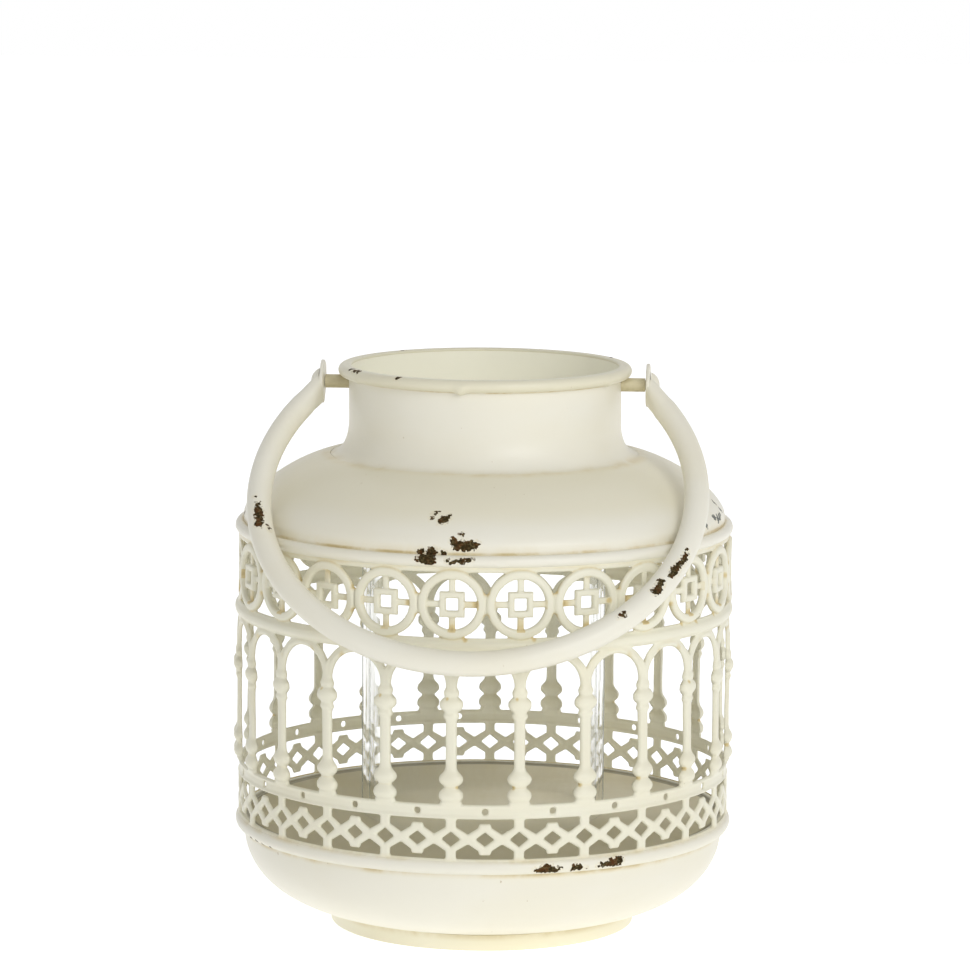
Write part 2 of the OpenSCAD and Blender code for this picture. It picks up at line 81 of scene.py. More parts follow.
# Mesh helpers
def volume_of(v, faces):
    """Six times the volume inside the faces. It is negative when they face inward."""
    total = 0.0
    for corners in {len(f) for f in faces}:
        q = v[np.asarray([f for f in faces if len(f) == corners])]
        for i in range(1, corners - 1):
            total += (np.cross(q[:, i] - q[:, 0], q[:, i + 1] - q[:, 0]) * q[:, 0]).sum()
    return total


def add_mesh(name, verts, faces, body, material, slot, node, sharp=None):
    """A smooth mesh from vertices in millimetres, riding on a body and standing for a CAD node."""
    v = np.asarray(verts, float)
    if volume_of(v, faces) < 0:
        faces = [tuple(reversed(f)) for f in faces]
    mesh = bpy.data.meshes.new(name)
    mesh.from_pydata((v * MM).tolist(), [], faces)
    mesh.validate()
    mesh.shade_smooth()
    if sharp:
        mesh.set_sharp_from_angle(angle=math.radians(sharp))
    mesh.materials.append(material)
    ob = bpy.data.objects.new(name, mesh)
    bpy.context.scene.collection.objects.link(ob)
    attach(ob, body)
    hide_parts(node)
    return ob


def soft_wave(theta, z, amount, seed):
    """Slow unevenness of hand-worked sheet, in millimetres."""
    r = np.random.default_rng(seed)
    out = np.zeros(np.broadcast(theta, z).shape)
    for k in (2, 3, 5, 7, 9):
        a, b, c = r.uniform(0, 6.28, 3)
        out = out + np.sin(k * theta + a + 1.3 * np.sin(z * 0.045 * k + b)) * np.cos(z * 0.03 * k + c) / k
    return amount * out


def lathe(profile, segments, wave=0.0, seed=1, closed=True, bump=None):
    """Vertices and faces of an outline turned about Z. An outline that isn't closed gets two flat ends."""
    p = np.asarray(profile, float)
    theta = np.linspace(0, 2 * np.pi, segments, endpoint=False)
    r = p[:, 0][:, None] + 0 * theta
    z = p[:, 1][:, None] + 0 * theta
    if wave:
        calm_middle = np.clip(p[:, 0][:, None] / 20, 0, 1)
        r = r + soft_wave(theta[None, :], z, wave, seed) * calm_middle
    if bump:
        dr, dz = bump(theta[None, :] + 0 * r, r, z)
        r, z = r + dr, z + dz
    v = np.stack([r * np.sin(theta), -r * np.cos(theta), z], -1).reshape(-1, 3)
    n = len(p)
    faces = []
    for i in range(n if closed else n - 1):
        a, b = i * segments, ((i + 1) % n) * segments
        for j in range(segments):
            k = (j + 1) % segments
            faces.append((a + j, a + k, b + k, b + j))
    if not closed:
        faces.append(tuple(range(segments))[::-1])
        faces.append(tuple(range((n - 1) * segments, n * segments)))
    return v, faces


def add_turned(name, profile, segments, material, slot, node, sharp=50, body="lantern", **form):
    verts, faces = lathe(profile, segments, **form)
    return add_mesh(name, verts, faces, body, material.mat, slot, node, sharp)


def arc(cx, cz, r, a0, a1, n):
    return [(cx + r * math.cos(t), cz + r * math.sin(t)) for t in np.radians(np.linspace(a0, a1, n))]


def corner(ra, za, rb, zb, fullness, n=40):
    """Rounded corner from (ra, za), where it is upright, to (rb, zb), where it is flat."""
    t = np.linspace(0, np.pi / 2, n)
    c, s = np.cos(t).clip(0), np.sin(t).clip(0)
    power = 2 / fullness
    return [(rb + (ra - rb) * a ** power, za + (zb - za) * b ** power) for a, b in zip(c, s)]


def resample(points, step):
    """The same line with its points about a step apart."""
    p = np.asarray(points, float)
    d = np.r_[0, np.cumsum(np.linalg.norm(np.diff(p, axis=0), axis=1))]
    n = max(2, int(round(d[-1] / step)) + 1)
    t = np.linspace(0, d[-1], n)
    return list(zip(np.interp(t, d, p[:, 0]), np.interp(t, d, p[:, 1])))


def at(bearing, r, z):
    b = math.radians(bearing)
    return (r * math.sin(b), -r * math.cos(b), z)


def bump_at(theta, bearing, width, power=2):
    """1 at a bearing, falling away over a width in degrees."""
    away = (np.degrees(theta) - bearing + 180) % 360 - 180
    return np.exp(-np.abs(away / width) ** power)


# Materials
class NodeMaterial:
    """Short names for building one node material. Colours vary in object space, in metres."""

    def __init__(self, name):
        self.mat = bpy.data.materials.new(name)
        self.mat.use_nodes = True
        self.tree = self.mat.node_tree
        self.bsdf = self.tree.nodes["Principled BSDF"]
        self.obj = self.node("ShaderNodeTexCoord").outputs["Object"]
        self.spot = self.obj
        sep = self.node("ShaderNodeSeparateXYZ")
        self.link(self.obj, sep.inputs[0])
        self.x, self.y, self.z = sep.outputs
        self.r = self.hypot(self.x, self.y)

    def node(self, kind, **props):
        n = self.tree.nodes.new(kind)
        for k, v in props.items():
            setattr(n, k, v)
        return n

    def link(self, a, b):
        self.tree.links.new(a, b)

    def put(self, sock, v):
        if isinstance(v, bpy.types.NodeSocket):
            self.link(v, sock)
        else:
            sock.default_value = v

    def set(self, **values):
        """Sets or links the shader's sockets. Coat_IOR stands for Coat IOR."""
        for name, v in values.items():
            self.put(self.bsdf.inputs[name.replace("_", " ")], v)

    def math(self, op, a, b=0.0, c=0.0, clamp=False):
        n = self.node("ShaderNodeMath", operation=op, use_clamp=clamp)
        for sock, v in zip(n.inputs, (a, b, c)):
            self.put(sock, v)
        return n.outputs[0]

    def mul(self, a, b, clamp=False):
        return self.math("MULTIPLY", a, b, clamp=clamp)

    def scaled(self, a, factor, offset):
        return self.math("MULTIPLY_ADD", a, factor, offset)

    def hypot(self, a, b):
        return self.math("SQRT", self.math("ADD", self.mul(a, a), self.mul(b, b)))

    def best(self, op, values):
        """The least (MINIMUM) or greatest (MAXIMUM) of any number of values."""
        out = values[0]
        for v in values[1:]:
            out = self.math(op, v, out)
        return out

    def noise(self, scale, detail=3.0, rough=0.5, vector=None, distortion=0.0):
        n = self.node("ShaderNodeTexNoise")
        self.link(vector or self.obj, n.inputs["Vector"])
        n.inputs["Scale"].default_value = scale
        n.inputs["Detail"].default_value = detail
        n.inputs["Roughness"].default_value = rough
        n.inputs["Distortion"].default_value = distortion
        return n.outputs[0]

    def vector(self, op, a, b, c=None):
        n = self.node("ShaderNodeVectorMath", operation=op)
        for sock, v in zip(n.inputs, (a, b) if c is None else (a, b, c)):
            self.put(sock, v)
        return n

    def stretch(self, sx, sy, sz):
        return self.vector("MULTIPLY", self.obj, (sx, sy, sz)).outputs[0]

    def ramp(self, v, lo, hi):
        """0 at lo and 1 at hi, smooth between and held beyond. hi may be below lo."""
        n = self.node("ShaderNodeMapRange", interpolation_type="SMOOTHSTEP")
        self.link(v, n.inputs[0])
        ends = (lo, hi, 0.0, 1.0) if lo < hi else (hi, lo, 1.0, 0.0)
        for sock, q in zip(n.inputs[1:5], ends):
            sock.default_value = q
        return n.outputs[0]

    def mix(self, fac, a, b):
        """Colour a where fac is 0 and b where it is 1. The node's colour sockets are 6, 7 and output 2."""
        n = self.node("ShaderNodeMix", data_type="RGBA")
        self.put(n.inputs[0], fac)
        self.put(n.inputs[6], a)
        self.put(n.inputs[7], b)
        return n.outputs[2]

    def ring(self, r0, z0, width):
        """1 on the circle at radius r0 and height z0, falling to 0 at width, all in millimetres."""
        d = self.hypot(self.math("SUBTRACT", self.r, r0 * MM), self.math("SUBTRACT", self.z, z0 * MM))
        return self.ramp(d, width * MM, 0.0)

    def near(self, point, size):
        """Distance from a point less a size, in metres. The point and the size are in millimetres."""
        n = self.vector("DISTANCE", self.spot, tuple(c * MM for c in point))
        return self.math("SUBTRACT", n.outputs["Value"], size * MM)

    def shards(self, scale, warp):
        """Splits the surface into angular cells. near() then measures from the cells' own points."""
        noise = self.node("ShaderNodeTexNoise")
        self.link(self.obj, noise.inputs["Vector"])
        noise.inputs["Scale"].default_value = scale * 0.8
        pull = self.vector("MULTIPLY_ADD", noise.outputs["Color"], (warp,) * 3, self.obj)
        cell = self.node("ShaderNodeTexVoronoi")
        self.link(pull.outputs[0], cell.inputs["Vector"])
        cell.inputs["Scale"].default_value = scale
        self.spot = self.vector("SUBTRACT", cell.outputs["Position"], (warp / 2,) * 3).outputs[0]
        return cell.outputs["Color"]

    def bump(self, height, strength, distance, normal=None):
        n = self.node("ShaderNodeBump")
        n.inputs["Strength"].default_value = strength
        n.inputs["Distance"].default_value = distance
        self.link(height, n.inputs["Height"])
        if normal is not None:
            self.link(normal, n.inputs["Normal"])
        return n.outputs[0]


def rgb(r, g, b):
    """Linear colour from an sRGB one given in 0..255."""
    def lin(c):
        c = c / 255
        return c / 12.92 if c <= 0.04045 else ((c + 0.055) / 1.055) ** 2.4
    return (lin(r), lin(g), lin(b), 1.0)


CREAM = rgb(241, 238, 224)
CREAM_WARM = rgb(237, 231, 208)
AGED = rgb(235, 229, 203)
PAINTED_LIGHT_CREAM = rgb(254, 252, 234)          # painted light: a brighter cream inside the neck
# stain colours, also used for the painted shadow line under the rim
STAIN = rgb(221, 203, 152)
DEEP_STAIN = rgb(170, 147, 97)
# painted shadow: the dark of the gaps by the lip and round the floor's edge
GAP_SHADOW = rgb(112, 104, 78)
RUST = rgb(58, 49, 29)
RUST_LIGHT = rgb(94, 62, 36)
RUST_DUST = rgb(122, 110, 78)
BARE = rgb(122, 124, 119)           # metal without rust, in the chips at the dome's right end

CHIP_CELLS, CHIP_WARP = 1150.0, 0.0005        # flakes per metre, and how far their outlines are pulled
CHIP_RAGGED, CHIP_INSET = 0.0007, -0.00065    # how unevenly the flakes come off at a chip's edge, in metres
CHIP_EDGE = 0.0001
CHIP_RIM = 0.0009                             # width of the stain round a chip
ENAMEL_ROUGH, ENAMEL_UNEVEN = 0.31, 0.16


def stained_and_shaded_creases(m, colour, rings, scale):
    """Stain in patches along each ring of (radius, height, width, strength). A strong thin ring paints shade:
    the dark line under the rim is painted shadow.
    """
    patch = m.ramp(m.noise(scale, 4.0, 0.62, distortion=0.4), 0.38, 0.66)
    crease = m.best("MAXIMUM", [m.mul(m.ring(*place), strength) for *place, strength in rings])
    stain_and_shade = m.mul(crease, m.scaled(patch, 0.8, 0.2), clamp=True)
    colour = m.mix(stain_and_shade, colour, STAIN)
    return m.mix(m.mul(m.math("POWER", stain_and_shade, 3.0), 0.5), colour, DEEP_STAIN)


def freckled(m, colour):
    dots = m.mul(m.ramp(m.noise(420.0, 2.0, 0.5), 0.735, 0.765), m.ramp(m.noise(38.0, 2.0, 0.5), 0.52, 0.62))
    return m.mix(m.mul(dots, 0.55), colour, DEEP_STAIN)


def grimy_and_shaded(m, colour):
    """Colours the mesh's own grime attribute: ochre, then brown stain, and above 1 the dark of a painted gap
    shadow.
    """
    grime_and_shade = m.node("ShaderNodeAttribute", attribute_name="grime_and_shade").outputs["Fac"]
    mottled = m.mul(grime_and_shade, m.scaled(m.noise(330.0, 3.0, 0.6), 1.3, 0.35))
    colour = m.mix(m.ramp(mottled, 0.05, 0.6), colour, STAIN)
    colour = m.mix(m.mul(m.ramp(mottled, 0.6, 1.2), 0.55), colour, DEEP_STAIN)
    return m.mix(m.ramp(grime_and_shade, 1.2, 1.8), colour, GAP_SHADOW)


def chipped(m, colour, normal, chips, bare_beyond):
    """Angular chips down to rust, round each (point, size). Gives the colour, the normal and the chips."""
    lot = m.node("ShaderNodeSeparateColor")
    m.link(m.shards(CHIP_CELLS, CHIP_WARP), lot.inputs[0])
    d = m.best("MINIMUM", [m.near(p, size) for p, size in chips])
    edge = m.math("ADD", d, m.scaled(lot.outputs[0], CHIP_RAGGED, CHIP_INSET))
    chip = m.ramp(edge, CHIP_EDGE, -CHIP_EDGE)
    rim = m.mul(m.ramp(edge, CHIP_RIM, 0.0), m.math("SUBTRACT", 1.0, chip))
    rust = m.mix(m.ramp(m.noise(330.0, 3.0, 0.7), 0.44, 0.66), RUST, RUST_LIGHT)
    rust = m.mix(m.mul(m.ramp(m.noise(1300.0, 2.0, 0.6), 0.46, 0.66), 0.6), rust, RUST_DUST)
    if bare_beyond:
        rust = m.mix(m.ramp(m.x, bare_beyond * MM, (bare_beyond + 4) * MM), rust, BARE)
    colour = m.mix(m.mul(rim, 0.25), colour, STAIN)
    colour = m.mix(chip, colour, rust)
    normal = m.bump(m.ramp(edge, -2 * CHIP_EDGE, 2 * CHIP_EDGE), 0.7, 0.00045, normal)
    normal = m.bump(m.mul(m.noise(1500.0, 2.0, 0.7), chip), 0.5, 0.0005, normal)
    return colour, normal, chip


def enamel(name, chips=(), rings=(), base=CREAM, warm=CREAM_WARM, mottle=0.5, grime_and_shade=False,
           aged_above=None, bare_beyond=None, painted_light_within=None, gap_shadow=None):
    """Cream enamel over rusty steel: uneven tone, yellow-brown stain in creases, chips to dark metal, with
    painted shade in a few creases, a painted gap shadow and painted light inside the neck.

    Chips are (point, size), rings (radius, height, width, strength), the seam (radius, height, width), a dark
    line of painted gap shadow.
    Above aged_above the cream is yellower, beyond the x bare_beyond the chips show clean metal, and within
    the radius painted_light_within the cream is painted brighter and nothing is stained: painted light. All
    are in millimetres."""
    m = NodeMaterial(name)
    patches = m.mul(m.noise(11.0, 4.0, 0.55), 0.6)
    streaks = m.mul(m.noise(9.0, 4.0, 0.6, m.stretch(1.0, 1.0, 3.2)), 0.4)
    tone = m.ramp(m.math("ADD", patches, streaks), 0.44, 0.68)
    colour = m.mix(m.mul(tone, mottle), base, warm)
    if aged_above:
        colour = m.mix(m.mul(m.ramp(m.z, aged_above * MM, (aged_above + 9) * MM), 0.7), colour, AGED)
    if rings:
        colour = stained_and_shaded_creases(m, colour, rings, 55.0)
    # painted shadow: a dark line along the given ring, where a gap lies in shade
    if gap_shadow:
        colour = m.mix(m.mul(m.ring(*gap_shadow), 0.8), colour, GAP_SHADOW)
    colour = freckled(m, colour)
    if grime_and_shade:
        colour = grimy_and_shaded(m, colour)
    normal = m.bump(m.noise(260.0, 2.0, 0.5), 0.16, 0.0006)      # orange peel
    rough = m.scaled(m.noise(160.0, 2.0, 0.6), ENAMEL_UNEVEN, ENAMEL_ROUGH)
    if chips:
        colour, normal, chip = chipped(m, colour, normal, chips, bare_beyond)
        rough = m.math("ADD", rough, m.mul(chip, 0.4), clamp=True)
        m.set(Metallic=chip)
    # painted light: within the radius the cream is brighter and unstained, standing for light inside the neck
    if painted_light_within:
        colour = m.mix(m.ramp(m.r, (painted_light_within + 0.2) * MM, painted_light_within * MM), colour, PAINTED_LIGHT_CREAM)
    m.set(Base_Color=colour, Roughness=rough, Normal=normal)
    m.bsdf.inputs["Specular IOR Level"].default_value = 0.45
    return m


# Bowl and foot
def chips_at(rows):
    """Chips from rows of (bearing, radius, height, size)."""
    return [(at(b, r, z), size) for b, r, z, size in rows]


def bowl_profile():
    """From the underside's middle out to the lip, over its bead, and back inside."""
    wall = corner(LIP_R - 0.5, LIP_Z - 1.7, 47, BOWL_BOTTOM, 2.25, 120)
    outer = resample([p for p in wall if p[1] < 39.0][::-1], 0.9)
    bead = arc(LIP_R, LIP_Z, LIP_BEAD_R, -99.6, 175, 44)
    inner_wall = corner(LIP_R - 1.5, LIP_Z - 1.7, 46, BOWL_BOTTOM + SHEET, 2.25, 40)
    inner = [(LIP_R - 1.5, LIP_Z - 1)] + [p for p in inner_wall if p[1] < 39.5]
    return [(20, BOWL_BOTTOM), (40, BOWL_BOTTOM)] + outer + bead + inner + [(30, BOWL_BOTTOM + SHEET)]


# rows of (bearing, radius, height, size)
LIP_CHIPS = ((15.3, 100.4, 41.2, 0.6), (16.2, 100.3, 41, 0.9), (16.9, 100.4, 41.5, 1.3),
             (17.8, 100.5, 41.6, 1.6), (18.6, 100.4, 41.3, 1.4), (19.4, 100.3, 40.9, 1.2),
             (20.1, 100.2, 40.6, 0.9), (20.6, 100.4, 41.2, 0.7), (24.2, 100.3, 40.9, 1.1),
             (25, 100.4, 41.3, 1.25), (25.7, 100.3, 41, 0.8), (26.7, 100.2, 40.8, 0.35),
             (27.3, 100.2, 40.6, 0.35), (30.2, 100.3, 40.9, 0.5), (31.1, 100.4, 41.3, 0.9),
             (31.8, 100.3, 41, 0.8), (32.7, 100.5, 41.6, 1.25), (33.7, 100.5, 41.8, 1.55),
             (34.8, 100.5, 41.8, 1.6), (35.7, 100.5, 42.1, 1.5), (36.3, 100.5, 42.5, 0.9),
             (36.5, 100.3, 42.9, 0.45), (-64.7, 99.2, 39.6, 1.1), (-61.5, 99.0, 39.4, 1.2),
             (-58.2, 98.8, 39.3, 1.0), (-54.3, 98.8, 39.3, 0.8), (150, 100.2, 41.0, 1.9),
             (152, 100.4, 41.3, 1.6), (154, 100.4, 41.6, 1.1), (-128, 100.3, 41.6, 1.5),
             (-126.6, 100.4, 41.8, 1.1))
# the dark line at radius 95.8 and height 44.4 is a painted gap shadow inside the lip, by the floor's edge
mat_bowl = enamel("bowl_enamel", chips_at(LIP_CHIPS),
                  [(97.2, 38.9, 2.4, 0.9), (99.4, 44.6, 2.0, 0.55), (63.0, 7.5, 9.0, 0.4)],
                  gap_shadow=(95.8, 44.4, 1.9))
add_turned("bowl", bowl_profile(), 288, mat_bowl, "cream_enamel", "base_bowl",
           wave=0.18, seed=3, closed=False)

FOOT_IN_R = FOOT_R - 1.5
FOOT_EDGE = 0.35      # the foot's lower edge is rounded by this much
foot_profile = ([(FOOT_R, FOOT_TOP)] + arc(FOOT_R - FOOT_EDGE, FOOT_EDGE, FOOT_EDGE, 0, -90, 5)
                + arc(FOOT_IN_R + FOOT_EDGE, FOOT_EDGE, FOOT_EDGE, -90, -180, 5) + [(FOOT_IN_R, FOOT_TOP)])
# painted light: the foot's cream is brighter than the rest, standing for the light the white table throws on
# it
mat_foot = enamel("foot_enamel", (), [(FOOT_R, FOOT_TOP, 3.0, 0.5)],
                  rgb(254, 250, 229), rgb(251, 244, 214), 0.6)
add_turned("foot", foot_profile, 192, mat_foot, "foot_enamel", "foot_ring", wave=0.06, seed=4)


# Floor plate
def plate_material():
    """Khaki paint in uneven tones, with painted shade darker to the left and the front, and a painted gap
    shadow dark round the edge by the lip.
    """
    m = NodeMaterial("floor_paint")
    fine = m.noise(70.0, 4.0, 0.65)
    colour = m.mix(m.ramp(m.noise(16.0, 5.0, 0.6), 0.36, 0.66), rgb(236, 229, 206), rgb(226, 216, 186))
    colour = m.mix(m.mul(m.ramp(fine, 0.50, 0.72), 0.35), colour, rgb(241, 234, 210))
    # painted shade: darker to the left and the front, where the bowl's wall shades the floor
    painted_shade = m.math("MAXIMUM", m.ramp(m.x, 0.03, -0.05), m.ramp(m.y, 0.02, -0.04))
    colour = m.mix(m.mul(painted_shade, 0.85), colour, rgb(186, 177, 143))
    # painted shadow: a dark band round the edge, in the gap under the lip
    colour = m.mix(m.mul(m.ramp(m.r, (PLATE_R - 3.5) * MM, (PLATE_R - 2.0) * MM), 0.8), colour, GAP_SHADOW)
    m.set(Base_Color=colour, Roughness=m.scaled(fine, 0.25, 0.42), Normal=m.bump(fine, 0.25, 0.0008))
    return m


PLATE_END_R = 3       # the flat middle of each face


def plate_bump(theta, r, z):
    """The upper face lies a little low and uneven between its middle and its edge."""
    inside = np.clip((95 - r) / 20, 0, 1) * np.clip((r - PLATE_END_R) / 15, 0, 1)
    sag = (soft_wave(theta, r * 0.8, 0.18, 12) - 0.25) * inside
    return 0 * r, np.where(z > FLOOR_Z - 0.1, sag, 0)


upper_face = resample([(PLATE_END_R, FLOOR_Z), (PLATE_R - 0.5, FLOOR_Z)], 3.0)
plate_profile = upper_face + [(PLATE_R, FLOOR_Z - 0.2), (PLATE_R, FLOOR_Z - SHEET), (60, FLOOR_Z - SHEET),
                              (PLATE_END_R, FLOOR_Z - SHEET)]
add_turned("floor", plate_profile, 192, plate_material(), "floor_paint", "floor_plate", 40,
           closed=False, bump=plate_bump)


# Dome
CRIMPS = (-46.2, -24.6, 6.9, 37.0, 67.0, 97.0, 127.0, 157.0, 187.0, 217.0, 247.0, 277.0)


def crimps(theta, r, z):
    """Small swellings under the bead where it was crimped on the cage."""
    swell = sum(bump_at(theta, b, 0.95) for b in CRIMPS)
    on_bead = np.clip(1 - np.abs(z - BEAD_Z) / 2.6, 0, 1) * (z < BEAD_Z + 0.5)
    return 0 * r, -0.95 * swell * on_bead


def dome_profile():
    """Round the bead, up the short wall, over the shoulder to the neck, and back inside."""
    bead = arc(BEAD_MID_R, BEAD_Z, BEAD_R, -150, 116, 40)
    wall = [(SHOULDER_R, BEAD_Z + 3.0), (SHOULDER_R, BROW_Z - 1.5)]
    outer = resample(corner(SHOULDER_R, BROW_Z, NECK_FOOT_R + 0.05, DOME_TOP_Z, 1.45, 200), 0.9)
    inner = corner(SHOULDER_R - SHEET, BROW_Z, NECK_FOOT_R + 0.05, DOME_TOP_Z - SHEET, 1.45, 40)[::-1]
    return bead + wall + outer + inner + [(SHOULDER_R - SHEET, BEAD_Z)]


DOME_CHIPS = ((-7.1, 90.8, 176.6, 1.4), (-6.5, 90.2, 177.1, 1.63), (-5.9, 89.5, 177.7, 1.0),
              (-7.5, 91.6, 175.8, 0.6), (-5.6, 88.6, 178.5, 0.4), (-9.6, 88, 179, 0.5),
              (-8.8, 87.6, 179.3, 0.6), (-9.7, 89.8, 177.5, 0.6), (-2.3, 95, 171.9, 0.5),
              (-1.8, 94.6, 172.4, 0.45), (-3.9, 96.2, 170, 1.0), (-2.9, 96.9, 168.5, 1.7),
              (-1.7, 96.9, 168.4, 1.85), (-0.6, 97, 168.2, 1.95), (0.6, 96.9, 168.5, 1.7),
              (1.5, 96.7, 168.8, 0.95), (2, 96.7, 168.8, 0.4), (-3.3, 97.1, 167.5, 0.55),
              (-11.2, 97.4, 165.2, 1.3), (-8.7, 97.4, 165.1, 1.7), (-11.1, 100.3, 163.1, 1.0),
              (-9.8, 100.4, 162.9, 1.4), (-8.6, 100.4, 162.6, 1.95), (-10.2, 99.4, 164.3, 1.5),
              (-8.7, 99.2, 164.4, 1.7), (-11.7, 100.4, 162.9, 0.5), (-7.7, 97.1, 166.6, 0.6),
              (-6, 97.2, 165.1, 1.0), (-4.8, 100.4, 162.6, 0.7), (-4.2, 100.5, 162.2, 0.75),
              (-3.4, 100.5, 162.5, 0.75), (-2.6, 100.4, 162.8, 0.8), (-1.7, 100.4, 162.9, 0.8),
              (-0.9, 100.4, 162.9, 0.75), (0, 100.2, 163.2, 0.7), (0.7, 100.2, 163.3, 0.45),
              (75.7, 96.5, 169.4, 1.3), (77.8, 96.9, 168.5, 1.4), (79.8, 96.9, 168.6, 1.2),
              (81.3, 96.3, 169.8, 0.9), (74.8, 95.9, 170.4, 0.7), (83.4, 93.4, 173.9, 0.6),
              (83.9, 94.2, 172.9, 0.6), (84.3, 95.2, 171.5, 0.6), (85.1, 96.1, 170.2, 0.6),
              (68.5, 96.9, 168.4, 0.55), (68.8, 97.1, 167.1, 0.6), (-80, 97.1, 167.5, 0.9),
              (-72, 97.1, 166.0, 0.8), (168, 96.5, 169.5, 1.8), (170, 96.7, 169.2, 1.6),
              (132, 100.3, 162.8, 1.6), (134, 100.4, 162.6, 1.2))
mat_dome = enamel("dome_enamel", chips_at(DOME_CHIPS),
                  [(63.2, 190.6, 4.6, 0.55), (97.4, 164.9, 1.3, 1.0), (97.1, 165.4, 4.0, 0.25)],
                  aged_above=172.0, bare_beyond=84.0)
add_turned("dome", dome_profile(), 320, mat_dome, "cream_enamel", "shoulder_dome",
           wave=0.22, seed=6, bump=crimps)


# Neck and rim
def neck_profile():
    """Down the outside, out along the flared foot and its flange, and back up inside."""
    flare_z = DOME_TOP_Z + FLARE_H
    top, bottom = RIM_Z + 1.2, flare_z + 0.5

    def flare(inset):
        return [(NECK_FOOT_R - (FLARE_R + inset) * math.cos(a), flare_z - (FLARE_H + inset) * math.sin(a))
                for a in np.linspace(0, np.pi / 2, 22)]

    wall = resample([(NECK_R, top), (NECK_R, bottom)], 1.5)
    inner_wall = resample([(NECK_R - SHEET, bottom), (NECK_R - SHEET, top)], 3)
    flange = [(NECK_FOOT_R, DOME_TOP_Z - 1.05), (64.2, DOME_TOP_Z - 1.4), (64.2, DOME_TOP_Z - 2.4),
              (61.0, DOME_TOP_Z - 2.05)]
    return wall + flare(0) + flange + flare(SHEET)[-2::-1] + inner_wall


# the second ring is a painted shadow: the dark line on the neck under the rim; inside the neck the cream is
# painted brighter, painted light
mat_neck = enamel("neck_enamel", (), [(62.3, 190.6, 4.6, 0.55), (55.0, 222.5, 1.1, 1.5)],
                  painted_light_within=NECK_R - SHEET / 2)
add_turned("neck", neck_profile(), 224, mat_neck, "cream_enamel", "neck_collar", wave=0.14, seed=8)

# rows of (bearing, width in degrees, depth)
SOLDER_RUNS = ((-6.2, 1.9, 1.2), (-58.0, 1.6, 0.4), (61.0, 1.6, 0.5), (172.0, 2.2, 0.7))


def rim_bump(theta, r, z):
    """The lump of solder below the rim in front, and a few smaller runs."""
    run = sum(depth * bump_at(theta, b, width, 3) for b, width, depth in SOLDER_RUNS)
    low = np.clip((RIM_Z - z) / 2.4, 0, 1) ** 1.5
    return 0.65 * run * np.clip((RIM_Z + 1.5 - z) / 2, 0, 1) * (r > 56), -run * low


RIM_CHIPS = ((-65.4, 56.9, 227.2, 1.0), (-60.5, 57.2, 227.1, 1.3), (-57.5, 57.3, 227.1, 1.1),
             (-33.2, 57.6, 227.0, 0.8), (118, 56.9, 227.2, 1.0), (-140, 56.9, 227.2, 1.1))
# over the tube and down inside the neck's upper edge
rim_profile = arc(RIM_MID_R, RIM_Z, RIM_TUBE_R, -140, 100, 34) + [
    (NECK_R + x, RIM_Z + z) for x, z in ((0.4, 2.36), (-0.4, 2.31), (-0.85, 2.06), (-1.0, 1.66),
                                         (-0.9, 1.16), (0.06, -0.44))]
# the ring under the rim is stain and painted shade together
mat_rim = enamel("rim_enamel", chips_at(RIM_CHIPS), [(55.0, 222.6, 2.0, 0.7)],
                 rgb(232, 227, 203), rgb(227, 219, 188), 0.6)
add_turned("rim", rim_profile, 288, mat_rim, "cream_enamel", "rim_ring", 60, wave=0.10, seed=9, bump=rim_bump)


# Handle
def sweep(path, m=40):
    """A closed bar along a path in the XZ plane.

    Each step is (point, direction, half width along Y, half thickness, squareness), where 2 is an ellipse."""
    ang = np.linspace(0, 2 * np.pi, m, endpoint=False)
    c, s = np.cos(ang), np.sin(ang)
    rows = []
    for p, t, width, thickness, power in path:
        a = np.sign(c) * np.abs(c) ** (2 / power) * thickness
        b = np.sign(s) * np.abs(s) ** (2 / power) * width
        rows.append(np.stack([p[0] - t[1] * a, b, p[1] + t[0] * a], -1))
    last = len(path) - 1
    faces = [(i * m + j, i * m + (j + 1) % m, (i + 1) * m + (j + 1) % m, (i + 1) * m + j)
             for i in range(last) for j in range(m)]
    return np.concatenate(rows), faces + [tuple(range(m))[::-1], tuple(range(last * m, last * m + m))]


def other_side(path):
    """The same path mirrored to the left and walked backward."""
    return [((-p[0], p[1]), (t[0], -t[1]), *section) for p, t, *section in path[::-1]]


def forward_to_rest(y, z):
    """Turns a place beside the pivots forward to the handle's rest."""
    c, s = math.cos(-REST_TILT), math.sin(-REST_TILT)
    return y * c - z * s, y * s + z * c + PIVOT_Z


def ear_path(mid_x):
    """A flat ear from its round top down past the pivot to its narrower foot. Z is from the pivot here."""
    down, half = (0, -1), EAR_T / 2
    flat = 5.0                  # squareness of a flat bar
    top = [((mid_x, 1.2 + EAR_R * math.cos(a)), down, max(EAR_R * math.sin(a), 0.05), half, flat)
           for a in np.linspace(0, math.pi / 2, 16)]
    side = [((mid_x, z), down, EAR_R, half, flat) for z in np.linspace(0.4, -2.6, 6)]
    foot = [((mid_x, -2.8 - 4.9 * math.sin(a)), down, 2.4 + 5.38 * math.cos(a), half, flat)
            for a in np.linspace(0.1, math.pi / 2, 10)]
    return top + side + foot


